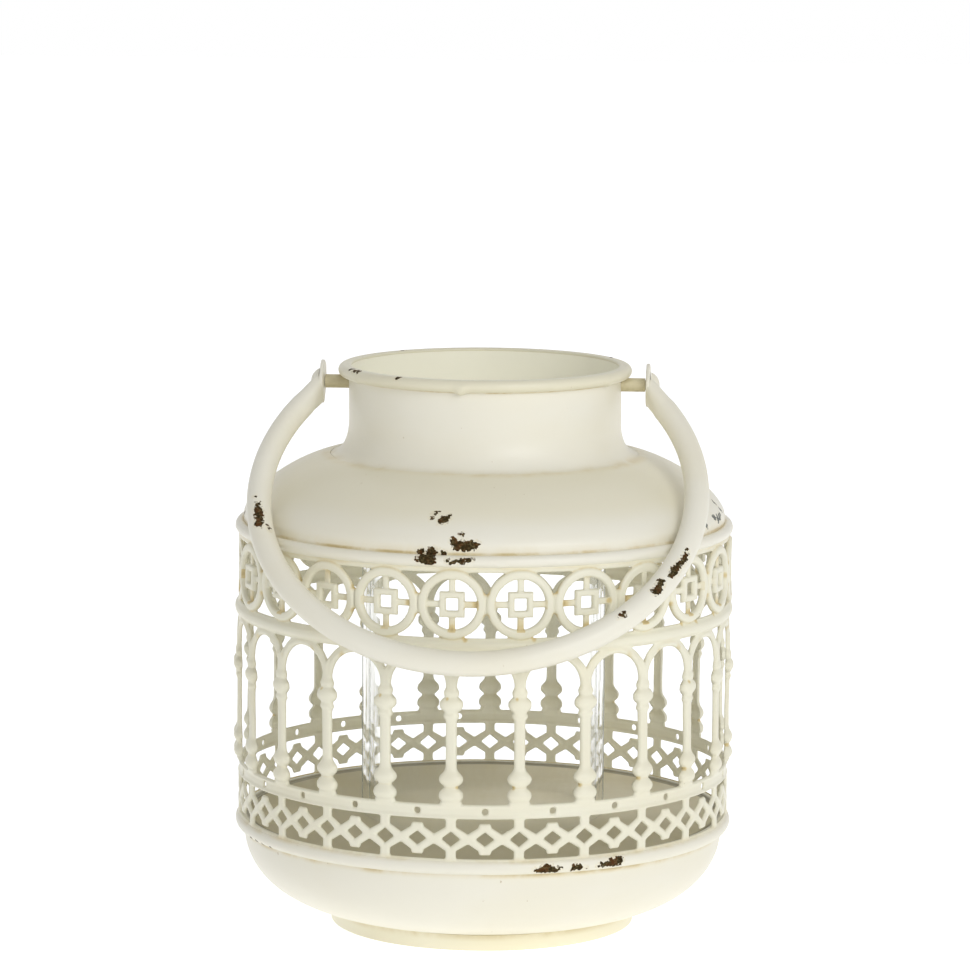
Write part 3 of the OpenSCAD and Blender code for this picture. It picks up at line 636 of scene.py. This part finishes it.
def bow_path(mid_x):
    """The bow of tube from the right ear to the left one. Its ends are drawn thin and lapped on the ears."""
    drawn_drop = 13.4           # how far below the pivots the drawn end becomes round tube
    start = math.acos((drawn_drop - BOW_DROP) / BOW_R)
    out = np.array([math.sin(start), -math.cos(start)])
    centre = np.array([0, -BOW_DROP])
    # the drawn end lies between an inner edge from the ear's foot and an outer one from beside the pivot
    inner = np.array([mid_x - EAR_T / 2 + 0.15, -7.6]), centre + (BOW_R - TUBE_R) * out
    outer = np.array([mid_x + 2.2, -0.4]), centre + (BOW_R + TUBE_R) * out
    flat_w = 6.4                # half width where the tube is squeezed flat
    # rows of (place, size, distance back); the first three round the tip
    rows = [(0, 0.55, 0.7), (0, 0.82, 0.35), (0, 0.95, 0.1)]
    rows += [(s, 1, 0) for s in np.linspace(0, 1, 16)[:-1]]
    tube = []
    for s, size, back in rows:
        low = inner[0] + (inner[1] - inner[0]) * s
        high = outer[0] + (outer[1] - outer[0]) * s
        span = np.linalg.norm(high - low)
        across = (high - low) / span
        along = np.array([across[1], -across[0]])
        width = (flat_w + (TUBE_R - flat_w) * s) * (0.7 + 0.3 * size)
        tube.append(((low + high) / 2 - along * back, along, width, span / 2 * size, 3.0 - min(1, 1.4 * s)))
    for a in np.linspace(start, 0, 90):
        c, s = math.cos(a), math.sin(a)
        tube.append(((BOW_R * s, -BOW_DROP - BOW_R * c), (-c, -s), TUBE_R, TUBE_R, 2.0))
    return tube + other_side(tube)[1:]


def handle_mesh():
    mid_x = EAR_X + EAR_T / 2
    v, faces = np.zeros((0, 3)), []
    for path in (ear_path(mid_x), bow_path(mid_x), other_side(ear_path(mid_x))):
        part, part_faces = sweep(path)
        faces += [tuple(i + len(v) for i in face) for face in part_faces]
        v = np.concatenate([v, part])
    v[:, 1], v[:, 2] = forward_to_rest(v[:, 1], v[:, 2])
    return v, faces


def on_bow(along, around):
    """A point on the tube, in degrees from the bow's middle and round the tube: 0 is outer, 90 front."""
    a, q = math.radians(along), math.radians(around)
    r = BOW_R + TUBE_R * math.cos(q)
    return (r * math.sin(a), *forward_to_rest(-TUBE_R * math.sin(q), -BOW_DROP - r * math.cos(a)))


# rows of (degrees along the bow, degrees round the tube, size)
HANDLE_CHIPS = ((-83, 88, 0.95), (-81.2, 86, 1.4), (-79.9, 90, 1.75), (-78.2, 84, 1.55), (-76.7, 82, 1.6),
                (-76, 70, 1.0), (-75.7, 84, 1.0), (-75.1, 118, 0.45), (-74.2, 122, 0.45), (-73.4, 124, 0.4),
                (-85.7, 72, 0.35), (69.8, 60, 0.6), (68.5, 54, 0.9), (67.1, 54, 1.1), (65.5, 56, 1.35),
                (63.8, 58, 1.4), (62.2, 60, 1.55), (60.8, 60, 1.1), (56.8, 74, 1.55), (55.3, 66, 1.5),
                (53.8, 66, 1.25), (54.1, 58, 1.0), (53.3, 78, 0.5), (42.2, 80, 0.55), (43, 78, 0.65),
                (41.2, 76, 0.35), (95, -80, 1.6), (93.6, -76, 1.3), (-20, -70, 1.4), (-62, -60, 1.5),
                (-60.6, -66, 1.2))
mat_handle = enamel("handle_enamel", [(on_bow(a, q), size) for a, q, size in HANDLE_CHIPS], mottle=0.6)
add_mesh("handle_bow", *handle_mesh(), "handle", mat_handle.mat, "cream_enamel", "handle", 60)


# Cage
def soft_min(a, b, k):
    """The lesser of two distances, blended over k."""
    h = np.clip(0.5 + 0.5 * (b - a) / k, 0, 1)
    return b + (a - b) * h - k * h * (1 - h)


def soft_max(a, b, k):
    return -soft_min(-a, -b, k)


def line_distance(x, y, x0, y0, x1, y1):
    """Distance to a line from (x0, y0) to (x1, y1)."""
    dx, dy = x1 - x0, y1 - y0
    t = np.clip(((x - x0) * dx + (y - y0) * dy) / (dx * dx + dy * dy), 0, 1)
    return np.hypot(x - x0 - t * dx, y - y0 - t * dy)


def polygon_distance(x, y, pts):
    """Signed distance to a closed polygon, negative inside."""
    d = np.full(np.broadcast(x, y).shape, 1e9)
    inside = np.zeros(d.shape, bool)
    for (x0, y0), (x1, y1) in zip(pts, pts[1:] + pts[:1]):
        d = np.minimum(d, line_distance(x, y, x0, y0, x1, y1))
        if y0 != y1:
            crosses = (y0 > y) != (y1 > y)
            inside ^= crosses & (x < x0 + (y - y0) * (x1 - x0) / (y1 - y0))
    return np.where(inside, -d, d)


def ridge(d, width):
    """1 on the line where d is 0, falling away over a width."""
    return np.exp(-(d / width) ** 2)


def half_round(q):
    """The section of a rounded bar: 1 at q = 0, and 0 where q is 1 or more."""
    return np.sqrt(np.clip(1 - q ** 2, 0, 1))


FAR = 9.0                      # a distance that means no opening near by
WHEEL_R = HALF_BAY - 0.03      # the wheels of the upper frieze touch
WHEEL_IN_R = WHEEL_R - RING_W
FRIEZE_DROP = 1.0              # the photograph's frieze stands this much lower than the solid's
WHEEL_Z = RING_Z - FRIEZE_DROP
MOULD_Z = MOULDING_Z - FRIEZE_DROP
SPANDREL_TOP = CROWN_Z + 1.85
ARCH_BAND = 3.6
POST_W = 4.25                  # half width of the posts' feet
RAIL_HOLE_R, RAIL_HOLE_UP = 1.3, 2.75
SPOKE_W = 1.25                 # half width of the wheels' spokes
FRAME_OUT, FRAME_IN = 5.0, 2.4   # half widths of the square frame in each wheel
GUSSET_H = 3.9                 # half height of the solid web where two wheels touch
LATTICE_TOP = 7.95             # half height of the lattice's openings
CAGE_STEP = 0.46               # size of the mesh's cells

# a baluster's half width and how far it stands out, against height above the rail
BALUSTER = ((0, 4.25, 0.9), (0.9, 4.25, 1.3), (1.25, 3.7, 1.0), (1.6, 4.0, 1.6), (2.4, 4.7, 2.2),
            (3.6, 4.85, 2.45), (4.8, 4.6, 2.2), (5.8, 3.7, 1.7), (6.6, 2.75, 1.2), (7.2, 2.75, 1.2),
            (8.0, 3.7, 1.7), (8.9, 4.6, 2.2), (10.0, 4.8, 2.45), (11.2, 4.5, 2.2), (12.2, 3.6, 1.7),
            (13.2, 2.7, 1.2), (14.5, 2.2, 0.95), (22, 2.15, 0.9), (32.8, 2.2, 0.95), (33.6, 2.5, 1.1),
            (34.2, 3.05, 1.4), (35.2, 3.1, 1.5), (35.9, 2.7, 1.2), (36.5, 2.7, 1.2), (37.4, 3.9, 1.8),
            (38.5, 4.6, 2.3), (39.5, 4.65, 2.4), (40.5, 4.45, 2.3), (41.5, 3.6, 1.8), (42.3, 2.7, 1.2),
            (43.0, 2.9, 1.4), (44.0, 3.1, 1.5), (44.9, 2.8, 1.3), (45.8, 2.3, 1.0), (47.5, 2.1, 0.95),
            (52, 1.9, 0.9), (56.5, 1.2, 0.5), (58.5, 0.3, 0.0))
BALUSTER_UP, BALUSTER_HALF, BALUSTER_OUT = np.array(BALUSTER).T


def lattice_openings(ax, cx, ly):
    """The three kinds of opening in the diamond lattice, mirrored about its middle height."""
    side, low = HALF_BAY - 2.05, 6.15
    big = polygon_distance(cx, ly, [
        (-0.5, low), (1.85, low), (2.35, 5.6), (2.65, 4.5), (HALF_BAY / 2, 1.9), (side, 4.7),
        (side, LATTICE_TOP - 0.5), (side - 0.5, LATTICE_TOP), (-0.5, LATTICE_TOP)])
    big = np.where(cx < 0.5, np.maximum(low - ly, ly - LATTICE_TOP), big)
    bay_diamond = (cx / 3.75 + ly / 2.8 - 1) * 2.1
    post_diamond = (ax / 3.8 + ly / 3.0 - 1) * 2.15
    return np.minimum(big, np.minimum(bay_diamond, post_diamond))


def cage_fields(x, y, end_side):
    """Signed distance of the sheet (negative inside) and its relief.

    x is measured from the nearest post's middle line. end_side is -1 or 1 for an end post, the side that its
    lap is on, and 0 for the others."""
    ax = np.abs(x)
    cx = HALF_BAY - ax                  # distance from the bay's middle line
    lap = end_side != 0
    beyond = lap & (x * end_side > 0)   # on the lap itself
    # openings: the distance is negative inside a hole
    h = y - POST_Z
    w = np.where(h < 0, POST_W, np.interp(h, BALUSTER_UP, BALUSTER_HALF))
    from_arch = np.hypot(cx, y - SPRING_Z)
    holes = np.where(y <= SPRING_Z, np.maximum(w - ax, -h), from_arch - ARCH_R)
    spandrel = soft_max(ARCH_R + ARCH_BAND - from_arch, y - SPANDREL_TOP, 0.5)
    spandrel = np.where(y > SPRING_Z + 3, spandrel, FAR)
    holes = np.minimum(holes, np.where(lap, FAR, spandrel))
    holes = np.minimum(holes, np.hypot(cx, y - RAIL_Z - RAIL_HOLE_UP) - RAIL_HOLE_R)
    ly = np.abs(y - LATTICE_Z - LATTICE_H / 2)
    holes = np.minimum(holes, lattice_openings(ax, cx, ly))
    # wheels: four windows between the spokes, and the square frame's middle
    ry = y - WHEEL_Z
    rr = np.hypot(x, ry)
    square = np.maximum(ax, np.abs(ry))
    window = soft_max(rr - WHEEL_IN_R, FRAME_OUT - square, 0.5)
    window = soft_max(window, SPOKE_W - np.minimum(ax, np.abs(ry)), 0.5)
    centre = soft_max(ax - FRAME_IN, np.abs(ry) - FRAME_IN, 0.6)
    holes = np.minimum(holes, np.where(beyond, FAR, window))
    holes = np.minimum(holes, np.where(lap, FAR, centre))
    # triangular gaps between the wheels, above and below the web
    gap = np.maximum(WHEEL_R - rr, WHEEL_R - np.hypot(2 * HALF_BAY - ax, ry))
    gap = soft_max(gap, GUSSET_H - np.abs(ry), 1.0)
    gap = soft_max(gap, np.where(ry > 0, ry - 12.5, -13.15 - ry), 0.4)
    holes = np.minimum(holes, np.where(beyond, FAR, gap))
    # the plain lap has no openings above the rail, and only the lattice's diamonds below it
    holes = np.where(beyond & (y > POST_Z), FAR, holes)
    holes = np.where(beyond & (ly > 3.2) & (y < RAIL_Z), FAR, holes)
    # relief: how far the sheet stands out
    out = np.interp(h, BALUSTER_UP, BALUSTER_OUT, left=0.9, right=0.0)
    baluster = (h > -0.4) & (h < 58) & (ax < w)
    relief = np.where(baluster, out * half_round(ax / np.maximum(w, 0.3)), 0.0)
    for rail_edge in (RAIL_Z + 0.5, POST_Z - 0.6):
        relief = np.maximum(relief, 0.55 * ridge(y - rail_edge, 0.55))
    in_lattice = (y > LATTICE_Z - 0.5) & (y < RAIL_Z)
    relief = np.where(in_lattice, np.maximum(relief, 0.35 * np.clip(holes, 0, 1) ** 0.7), relief)
    # archivolt: the sheet swells along the arch's edge
    from_edge = from_arch - ARCH_R
    on_arch = (y > SPRING_Z) & (y < MOULD_Z - 2) & (from_edge > -0.5)
    relief = np.where(on_arch, np.maximum(relief, 0.6 * ridge(from_edge - 1.3, 1.0)), relief)
    relief = np.maximum(relief, 1.5 * half_round((y - MOULD_Z) / MOULDING_R))
    # wheel rims and square frames, not on the end posts
    t = np.abs((rr - (WHEEL_R - RING_W / 2)) / (RING_W / 2))
    wheel_rim = 1.3 * np.clip(1 - t ** 3, 0, 1) ** (1 / 3)
    q = np.abs((square - 3.7) / 1.3)
    square_frame = np.clip(1 - q ** 4, 0, 1) ** 0.25
    relief = np.where(lap, relief, np.maximum(relief, np.maximum(wheel_rim, square_frame)))
    return -holes, relief


def dirt(x, y, bay):
    """How stained each place is: 0 clean, 1 ochre. The places follow the joints where water stood."""
    luck = np.random.default_rng(11).uniform(0, 1, (BAYS + 1, 14))[bay].T
    ax, ry = np.abs(x), y - WHEEL_Z
    rr = np.hypot(x, ry)
    cx = HALF_BAY - ax
    h = y - POST_Z

    def spot(dx, dy, size):
        return np.exp(-(dx ** 2 + dy ** 2) / size ** 2)

    # the spokes, most of all at their outer ends
    out = np.clip((rr - FRAME_OUT) / (WHEEL_IN_R - FRAME_OUT), 0, 1)
    spoke = (rr > FRAME_OUT - 0.2) & (rr < WHEEL_IN_R + 0.7) & (np.minimum(ax, np.abs(ry)) < 1.8)
    share = np.where(ax > np.abs(ry), np.where(x > 0, luck[0], luck[1]),
                     np.where(ry < 0, 0.5 + 0.5 * luck[2], 0.8 * luck[3]))
    d = np.where(spoke, share * (0.42 + 0.5 * out ** 2), 0.0)
    d += 0.9 * (luck[4] > 0.2) * spot(x - 0.2, ry + WHEEL_IN_R - 0.4, 1.1)
    d += 0.7 * (luck[5] > 0.55) * spot(x - WHEEL_IN_R + 0.4, ry, 1.0)
    d += 0.6 * (luck[6] > 0.6) * spot(x + WHEEL_IN_R - 0.4, ry, 1.0)
    # drops where the wheels stand on the moulding, and grime in the forks between wheels
    d += 1.0 * (luck[7] > 0.35) * spot(x - 5.3, ry + 13.5, 0.95)
    d += 0.8 * (luck[8] > 0.75) * spot(x + 5.0, ry + 13.4, 0.8)
    d += (0.25 + 0.5 * luck[9]) * spot(ax - HALF_BAY, np.abs(ry) - 4.4, 1.5)
    d += 0.4 * spot(rr - WHEEL_R - 0.2, 0, 0.5) * (np.abs(ry) > 4)
    # specks in the creases of the balusters, and patches along the arches
    d += 1.1 * (luck[10] > 0.45) * spot(x + 2.7, h - 6.9, 0.7)
    d += 1.1 * (luck[11] > 0.7) * spot(x - 2.6, h - 7.0, 0.6)
    d += 1.0 * (luck[12] > 0.6) * spot(x + 1.4, h - 41.8, 0.6)
    d += 0.25 * spot(0, h - 6.9, 0.5) * (ax < 4)
    from_arch = np.hypot(cx, y - SPRING_Z) - ARCH_R
    d += 0.5 * (luck[13] > 0.5) * spot(cx - 6, from_arch - 0.4, 1.6) * (y > SPRING_Z)
    d += 0.35 * luck[0] * spot(ax - 1.5, (y - SPRING_Z - 5.8) / 1.6, 1.0)
    return 0.85 * d


def cage_columns(step):
    """For each column of the mesh: its bearing, offset from the nearest post, end side and post number."""
    columns = []
    start = LAP_BEARING + LAP_DEG / 2
    per_bay = int(round(math.radians(PITCH) * CAGE_R / step))
    for b in range(BAYS):
        for i in range(per_bay):
            t = i / per_bay
            off = (t if t <= 0.5 else t - 1) * 2 * HALF_BAY
            post = b if t <= 0.5 else b + 1
            columns.append((start + (b + t) * PITCH, off, {0: -1, BAYS: 1}.get(post, 0), post))
    lap_columns = int(round(LAP_W / step))
    for i in range(lap_columns):
        t = i / lap_columns
        off, side, post = (t * LAP_W, 1, BAYS) if t < 0.5 else ((t - 1) * LAP_W, -1, 0)
        columns.append((start + 360 - LAP_DEG + t * LAP_DEG, off, side, post))
    return map(np.array, zip(*columns))


def round_about(grid):
    """Adds up the four cells that meet at each vertex. The columns run round, the rows don't."""
    both = grid.astype(int) + np.roll(grid, 1, 1)
    out = np.zeros((grid.shape[0] + 1, grid.shape[1]), int)
    out[:-1] += both
    out[1:] += both
    return out


def cage_mesh(step):
    """The strip rolled round: a grid whose border vertices are snapped on to the pattern's true edge."""
    bearing, off, end, bay = cage_columns(step)
    bottom, top = LIP_Z - 0.9, BEAD_Z + 0.9
    z = np.linspace(bottom, top, int(round((top - bottom) / step)) + 1)
    X, Z = np.meshgrid(off, z)
    end_side = np.meshgrid(end, z)[0]
    signed, relief = cage_fields(X, Z, end_side)
    nudge = 0.05
    slope_x = (cage_fields(X + nudge, Z, end_side)[0] - cage_fields(X - nudge, Z, end_side)[0]) / (2 * nudge)
    slope_z = (cage_fields(X, Z + nudge, end_side)[0] - cage_fields(X, Z - nudge, end_side)[0]) / (2 * nudge)
    # a cell is kept when two or more of its corners are in the sheet
    inside = (signed < 0).astype(int)
    pairs = inside + np.roll(inside, -1, 1)
    keep = pairs[:-1] + pairs[1:] >= 2
    cells = round_about(keep)
    used = cells > 0
    border = used & (cells < 4)
    border[0] = border[-1] = False
    steep = np.maximum(slope_x ** 2 + slope_z ** 2, 0.3)
    limit = step * 0.85
    dx = np.where(border, np.clip(-signed * slope_x / steep, -limit, limit), 0)
    dz = np.where(border, np.clip(-signed * slope_z / steep, -limit, limit), 0)
    around = np.radians(np.meshgrid(bearing, z)[0]) + dx / CAGE_R
    up = Z + dz
    # both faces, with the rounded outer edge
    depth = np.where(border, 0.0, np.clip(-signed, 0, FAR))
    edge = 0.45                         # how far the edge is rounded, and the least thickness
    drop = np.where(depth < edge, edge * (1 - half_round(1 - depth / edge)), 0)
    wave = soft_wave(around, up, 0.25, 21)
    front = CAGE_R + relief - drop + wave
    back = CAGE_R - SHEET + 0.75 * relief * np.clip(depth / 1.2, 0, 1) + drop * 0.5 + wave
    back = np.minimum(back, front - edge)
    number = -np.ones(used.shape, int)
    n = int(used.sum())
    number[used] = np.arange(n)
    b, height = around[used], up[used]
    v = [np.stack([r[used] * np.sin(b), -r[used] * np.cos(b), height], -1) for r in (front, back)]
    after = np.roll(number, -1, 1)
    quads = np.stack([g[keep] for g in (number[:-1], after[:-1], after[1:], number[1:])], -1)
    # walls along every open edge
    edges = np.concatenate([quads[:, [i, (i + 1) % 4]] for i in range(4)])
    _, which, count = np.unique(np.sort(edges, 1), axis=0, return_inverse=True, return_counts=True)
    a, c = edges[count[which.ravel()] == 1].T
    walls = np.stack([c, a, a + n, c + n], -1)
    faces = np.concatenate([quads, quads[:, ::-1] + n, walls])
    d = dirt(X, Z, bay)[used]
    in_gap_shadow = height < 45.2             # behind the lip, painted dark as gap shadow
    grime_and_shade = np.concatenate([d, np.where(in_gap_shadow, 2.0, 0.4 * d)])
    return np.concatenate(v), [tuple(q) for q in faces.tolist()], grime_and_shade


mat_cage = enamel("cage_enamel", (),
                  [(99.3, 44.8, 1.8, 0.5), (99.3, 159.6, 1.5, 0.4), (100.0, MOULD_Z - 2.6, 1.4, 0.3)],
                  rgb(239, 236, 216), rgb(236, 230, 204), mottle=0.75, grime_and_shade=True)
verts, faces, grime_and_shade = cage_mesh(CAGE_STEP)
cage = add_mesh("cage", verts, faces, "lantern", mat_cage.mat, "cream_enamel", "cage_panel")
cage.data.attributes.new("grime_and_shade", "FLOAT", "POINT").data.foreach_set("value", grime_and_shade.astype(np.float32))


# Glass
def glass_material():
    """Clear where it is looked through. Seen along the wall, it gathers white light, with darker wisps and a
    grey outline that are painted reflection.
    """
    m = NodeMaterial("clear_glass")
    facing = m.node("ShaderNodeLayerWeight").outputs["Facing"]
    above_foot = m.ramp(m.z, (GLASS_BOTTOM + 1.5) * MM, (GLASS_BOTTOM + 3.0) * MM)
    edge = m.mul(m.ramp(facing, 0.48, 0.80), above_foot)
    outline = m.ramp(facing, 0.80, 0.92)
    inside = m.math("SUBTRACT", 1.0, outline)
    rim = m.ramp(m.z, (GLASS_TOP - 1.5) * MM, (GLASS_TOP - 0.8) * MM)
    streaks = m.math("SUBTRACT", m.noise(150.0, 3.0, 0.6, m.stretch(1, 1, 0.1)), 0.5)
    wisps = m.ramp(m.math("ABSOLUTE", streaks), 0.020, 0.005)
    # painted reflection: darker wisps in the white band and a grey outline at the silhouette
    bright = m.mix(wisps, (0.98, 0.985, 0.97, 1), (0.62, 0.63, 0.60, 1))
    bright = m.mix(outline, bright, (0.48, 0.51, 0.48, 1))
    clear = m.mix(rim, (0.97, 0.99, 0.985, 1), (0.60, 0.66, 0.61, 1))
    smear = m.ramp(m.noise(30.0, 4.0, 0.6, m.stretch(1, 1, 0.4)), 0.5, 0.8)
    m.set(Base_Color=m.mix(edge, clear, bright),
          Metallic=m.mul(edge, inside),
          Roughness=m.scaled(smear, 0.1, 0.05),
          Alpha=m.scaled(m.math("MAXIMUM", edge, rim), 0.55, 0.2),
          Normal=m.bump(m.noise(110.0, 2.0, 0.5, m.stretch(1, 1, 0.15)), 0.35, 0.002),
          Transmission_Weight=m.scaled(inside, 0.9, 0.1),
          Coat_Weight=m.scaled(inside, 0.8, 0.2))
    # a thin even wall doesn't bend what is seen through it, so the coat alone reflects
    m.bsdf.inputs["IOR"].default_value = 1.0
    m.bsdf.inputs["Coat Roughness"].default_value = 0.03
    m.bsdf.inputs["Coat IOR"].default_value = 1.5
    return m


GLASS_EDGE = 1.0      # the rims are rounded by this much
IN_R, OUT_R = GLASS_BORE_R + GLASS_EDGE, GLASS_R - GLASS_EDGE
glass_profile = (arc(OUT_R, GLASS_TOP - GLASS_EDGE, GLASS_EDGE, 0, 90, 6)
                 + arc(IN_R, GLASS_TOP - GLASS_EDGE, GLASS_EDGE, 90, 180, 6)
                 + resample([(GLASS_BORE_R, GLASS_TOP - 2), (GLASS_BORE_R, GLASS_BOTTOM + 2)], 12)
                 + arc(IN_R, GLASS_BOTTOM + GLASS_EDGE, GLASS_EDGE, 180, 270, 6)
                 + arc(OUT_R, GLASS_BOTTOM + GLASS_EDGE, GLASS_EDGE, 270, 360, 6)
                 + resample([(GLASS_R, GLASS_BOTTOM + 2), (GLASS_R, GLASS_TOP - 2)], 12))
add_turned("glass", glass_profile, 256, glass_material(), "clear_glass", "glass_cylinder",
           body="glass_cylinder")


# Fixings keep their CAD solids
def steel_material():
    m = NodeMaterial("stained_steel")
    stain = m.noise(90.0, 4.0, 0.65)
    m.set(Base_Color=m.mix(m.ramp(stain, 0.35, 0.65), rgb(198, 188, 152), rgb(220, 211, 178)), Metallic=0.1,
          Roughness=m.scaled(stain, 0.3, 0.35), Normal=m.bump(stain, 0.3, 0.0006))
    return m


steel = steel_material()
for kind, material in (("spacer", steel), ("washer", steel), ("rivet", enamel("rivet_enamel", mottle=0.9))):
    for side in ("left", "right"):
        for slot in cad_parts[f"{kind}_{side}"].material_slots:
            slot.material = material.mat

# Stage
SKY_GLOW = 0.42       # what the sky gives to the object
FLOOR_GLOW = 0.36     # what the lit white table gives to the object, beyond what it reflects
FLOOR_SEEN = 0.78     # the table as the camera sees it, before the light that falls on it
FLOOR_HALF = 6.0      # half the table's width, in metres


def seen_rays(tree, unseen, seen, socket):
    """Sets a strength that differs for the rays that show a surface: camera, glossy and transmission rays."""
    rays = tree.nodes.new("ShaderNodeLightPath").outputs
    shown = rays["Is Camera Ray"]
    for other in ("Is Glossy Ray", "Is Transmission Ray"):
        either = tree.nodes.new("ShaderNodeMath")
        either.operation = "MAXIMUM"
        tree.links.new(shown, either.inputs[0])
        tree.links.new(rays[other], either.inputs[1])
        shown = either.outputs[0]
    pick = tree.nodes.new("ShaderNodeMapRange")
    tree.links.new(shown, pick.inputs["Value"])
    pick.inputs["To Min"].default_value = unseen
    pick.inputs["To Max"].default_value = seen
    tree.links.new(pick.outputs[0], socket)


scene = bpy.context.scene
scene.view_settings.view_transform = "Standard"
table = NodeMaterial("stage_white")
table.set(Base_Color=(0.9, 0.9, 0.9, 1), Roughness=0.9, Emission_Color=(1, 1, 1, 1))
seen_rays(table.tree, FLOOR_GLOW, FLOOR_SEEN, table.bsdf.inputs["Emission Strength"])
floor_mesh = bpy.data.meshes.new("stage_floor")
floor_mesh.from_pydata([(x * FLOOR_HALF, y * FLOOR_HALF, 0) for x, y in ((-1, -1), (1, -1), (1, 1), (-1, 1))],
                       [], [(0, 1, 2, 3)])
floor_mesh.materials.append(table.mat)
floor_ob = bpy.data.objects.new("stage_floor", floor_mesh)
scene.collection.objects.link(floor_ob)

scene.world = bpy.data.worlds.new("studio")
scene.world.use_nodes = True
sky = scene.world.node_tree.nodes["Background"]
sky.inputs["Color"].default_value = (1, 1, 1, 1)
seen_rays(scene.world.node_tree, SKY_GLOW, 1.0, sky.inputs["Strength"])


def area_light(name, place, target, size, watts):
    light = bpy.data.lights.new(name, "AREA")
    light.shape = "RECTANGLE"
    light.size, light.size_y = size
    light.energy = watts
    ob = bpy.data.objects.new(name, light)
    ob.location = place
    ob.rotation_euler = (Vector(target) - Vector(place)).to_track_quat("-Z", "Y").to_euler()
    scene.collection.objects.link(ob)


area_light("key", (1.06, -1.7, 0.92), (0, 0, 0.12), (1.2, 0.9), 14)
area_light("fill", (-1.5, -1.4, 0.15), (0, 0, 0.08), (1.0, 0.8), 1.3)
area_light("top", (0.1, -0.5, 1.9), (0, 0, 0.1), (1.6, 1.6), 2.2)

# Camera, fitted to the photograph
PHOTO_SIZE = 970.0            # pixels
FOCAL = 4949.2                # pixels
SENSOR = 36.0                 # mm
CAM_DISTANCE, CAM_HEIGHT, CAM_SIDE = 1.9772, 0.4635, 0.0002       # metres, from the lantern's axis
CAM_BEARING, CAM_DOWN, CAM_ROLL = (math.radians(d) for d in (3.3, 8.22, 0.36))
cam_data = bpy.data.cameras.new("camera")
cam_data.sensor_width = SENSOR
cam_data.lens = SENSOR * FOCAL / PHOTO_SIZE
cam_data.clip_start = 0.05
cam_data.clip_end = 50
cam = bpy.data.objects.new("camera", cam_data)
scene.collection.objects.link(cam)
turn = Matrix.Rotation(CAM_BEARING, 4, "Z")
place = Matrix.Translation(Vector((CAM_SIDE, -CAM_DISTANCE, CAM_HEIGHT)))
look = Matrix.Rotation(math.pi / 2 - CAM_DOWN, 4, "X")
roll = Matrix.Rotation(CAM_ROLL, 4, "Z")
cam.matrix_world = turn @ place @ look @ roll
scene.camera = cam
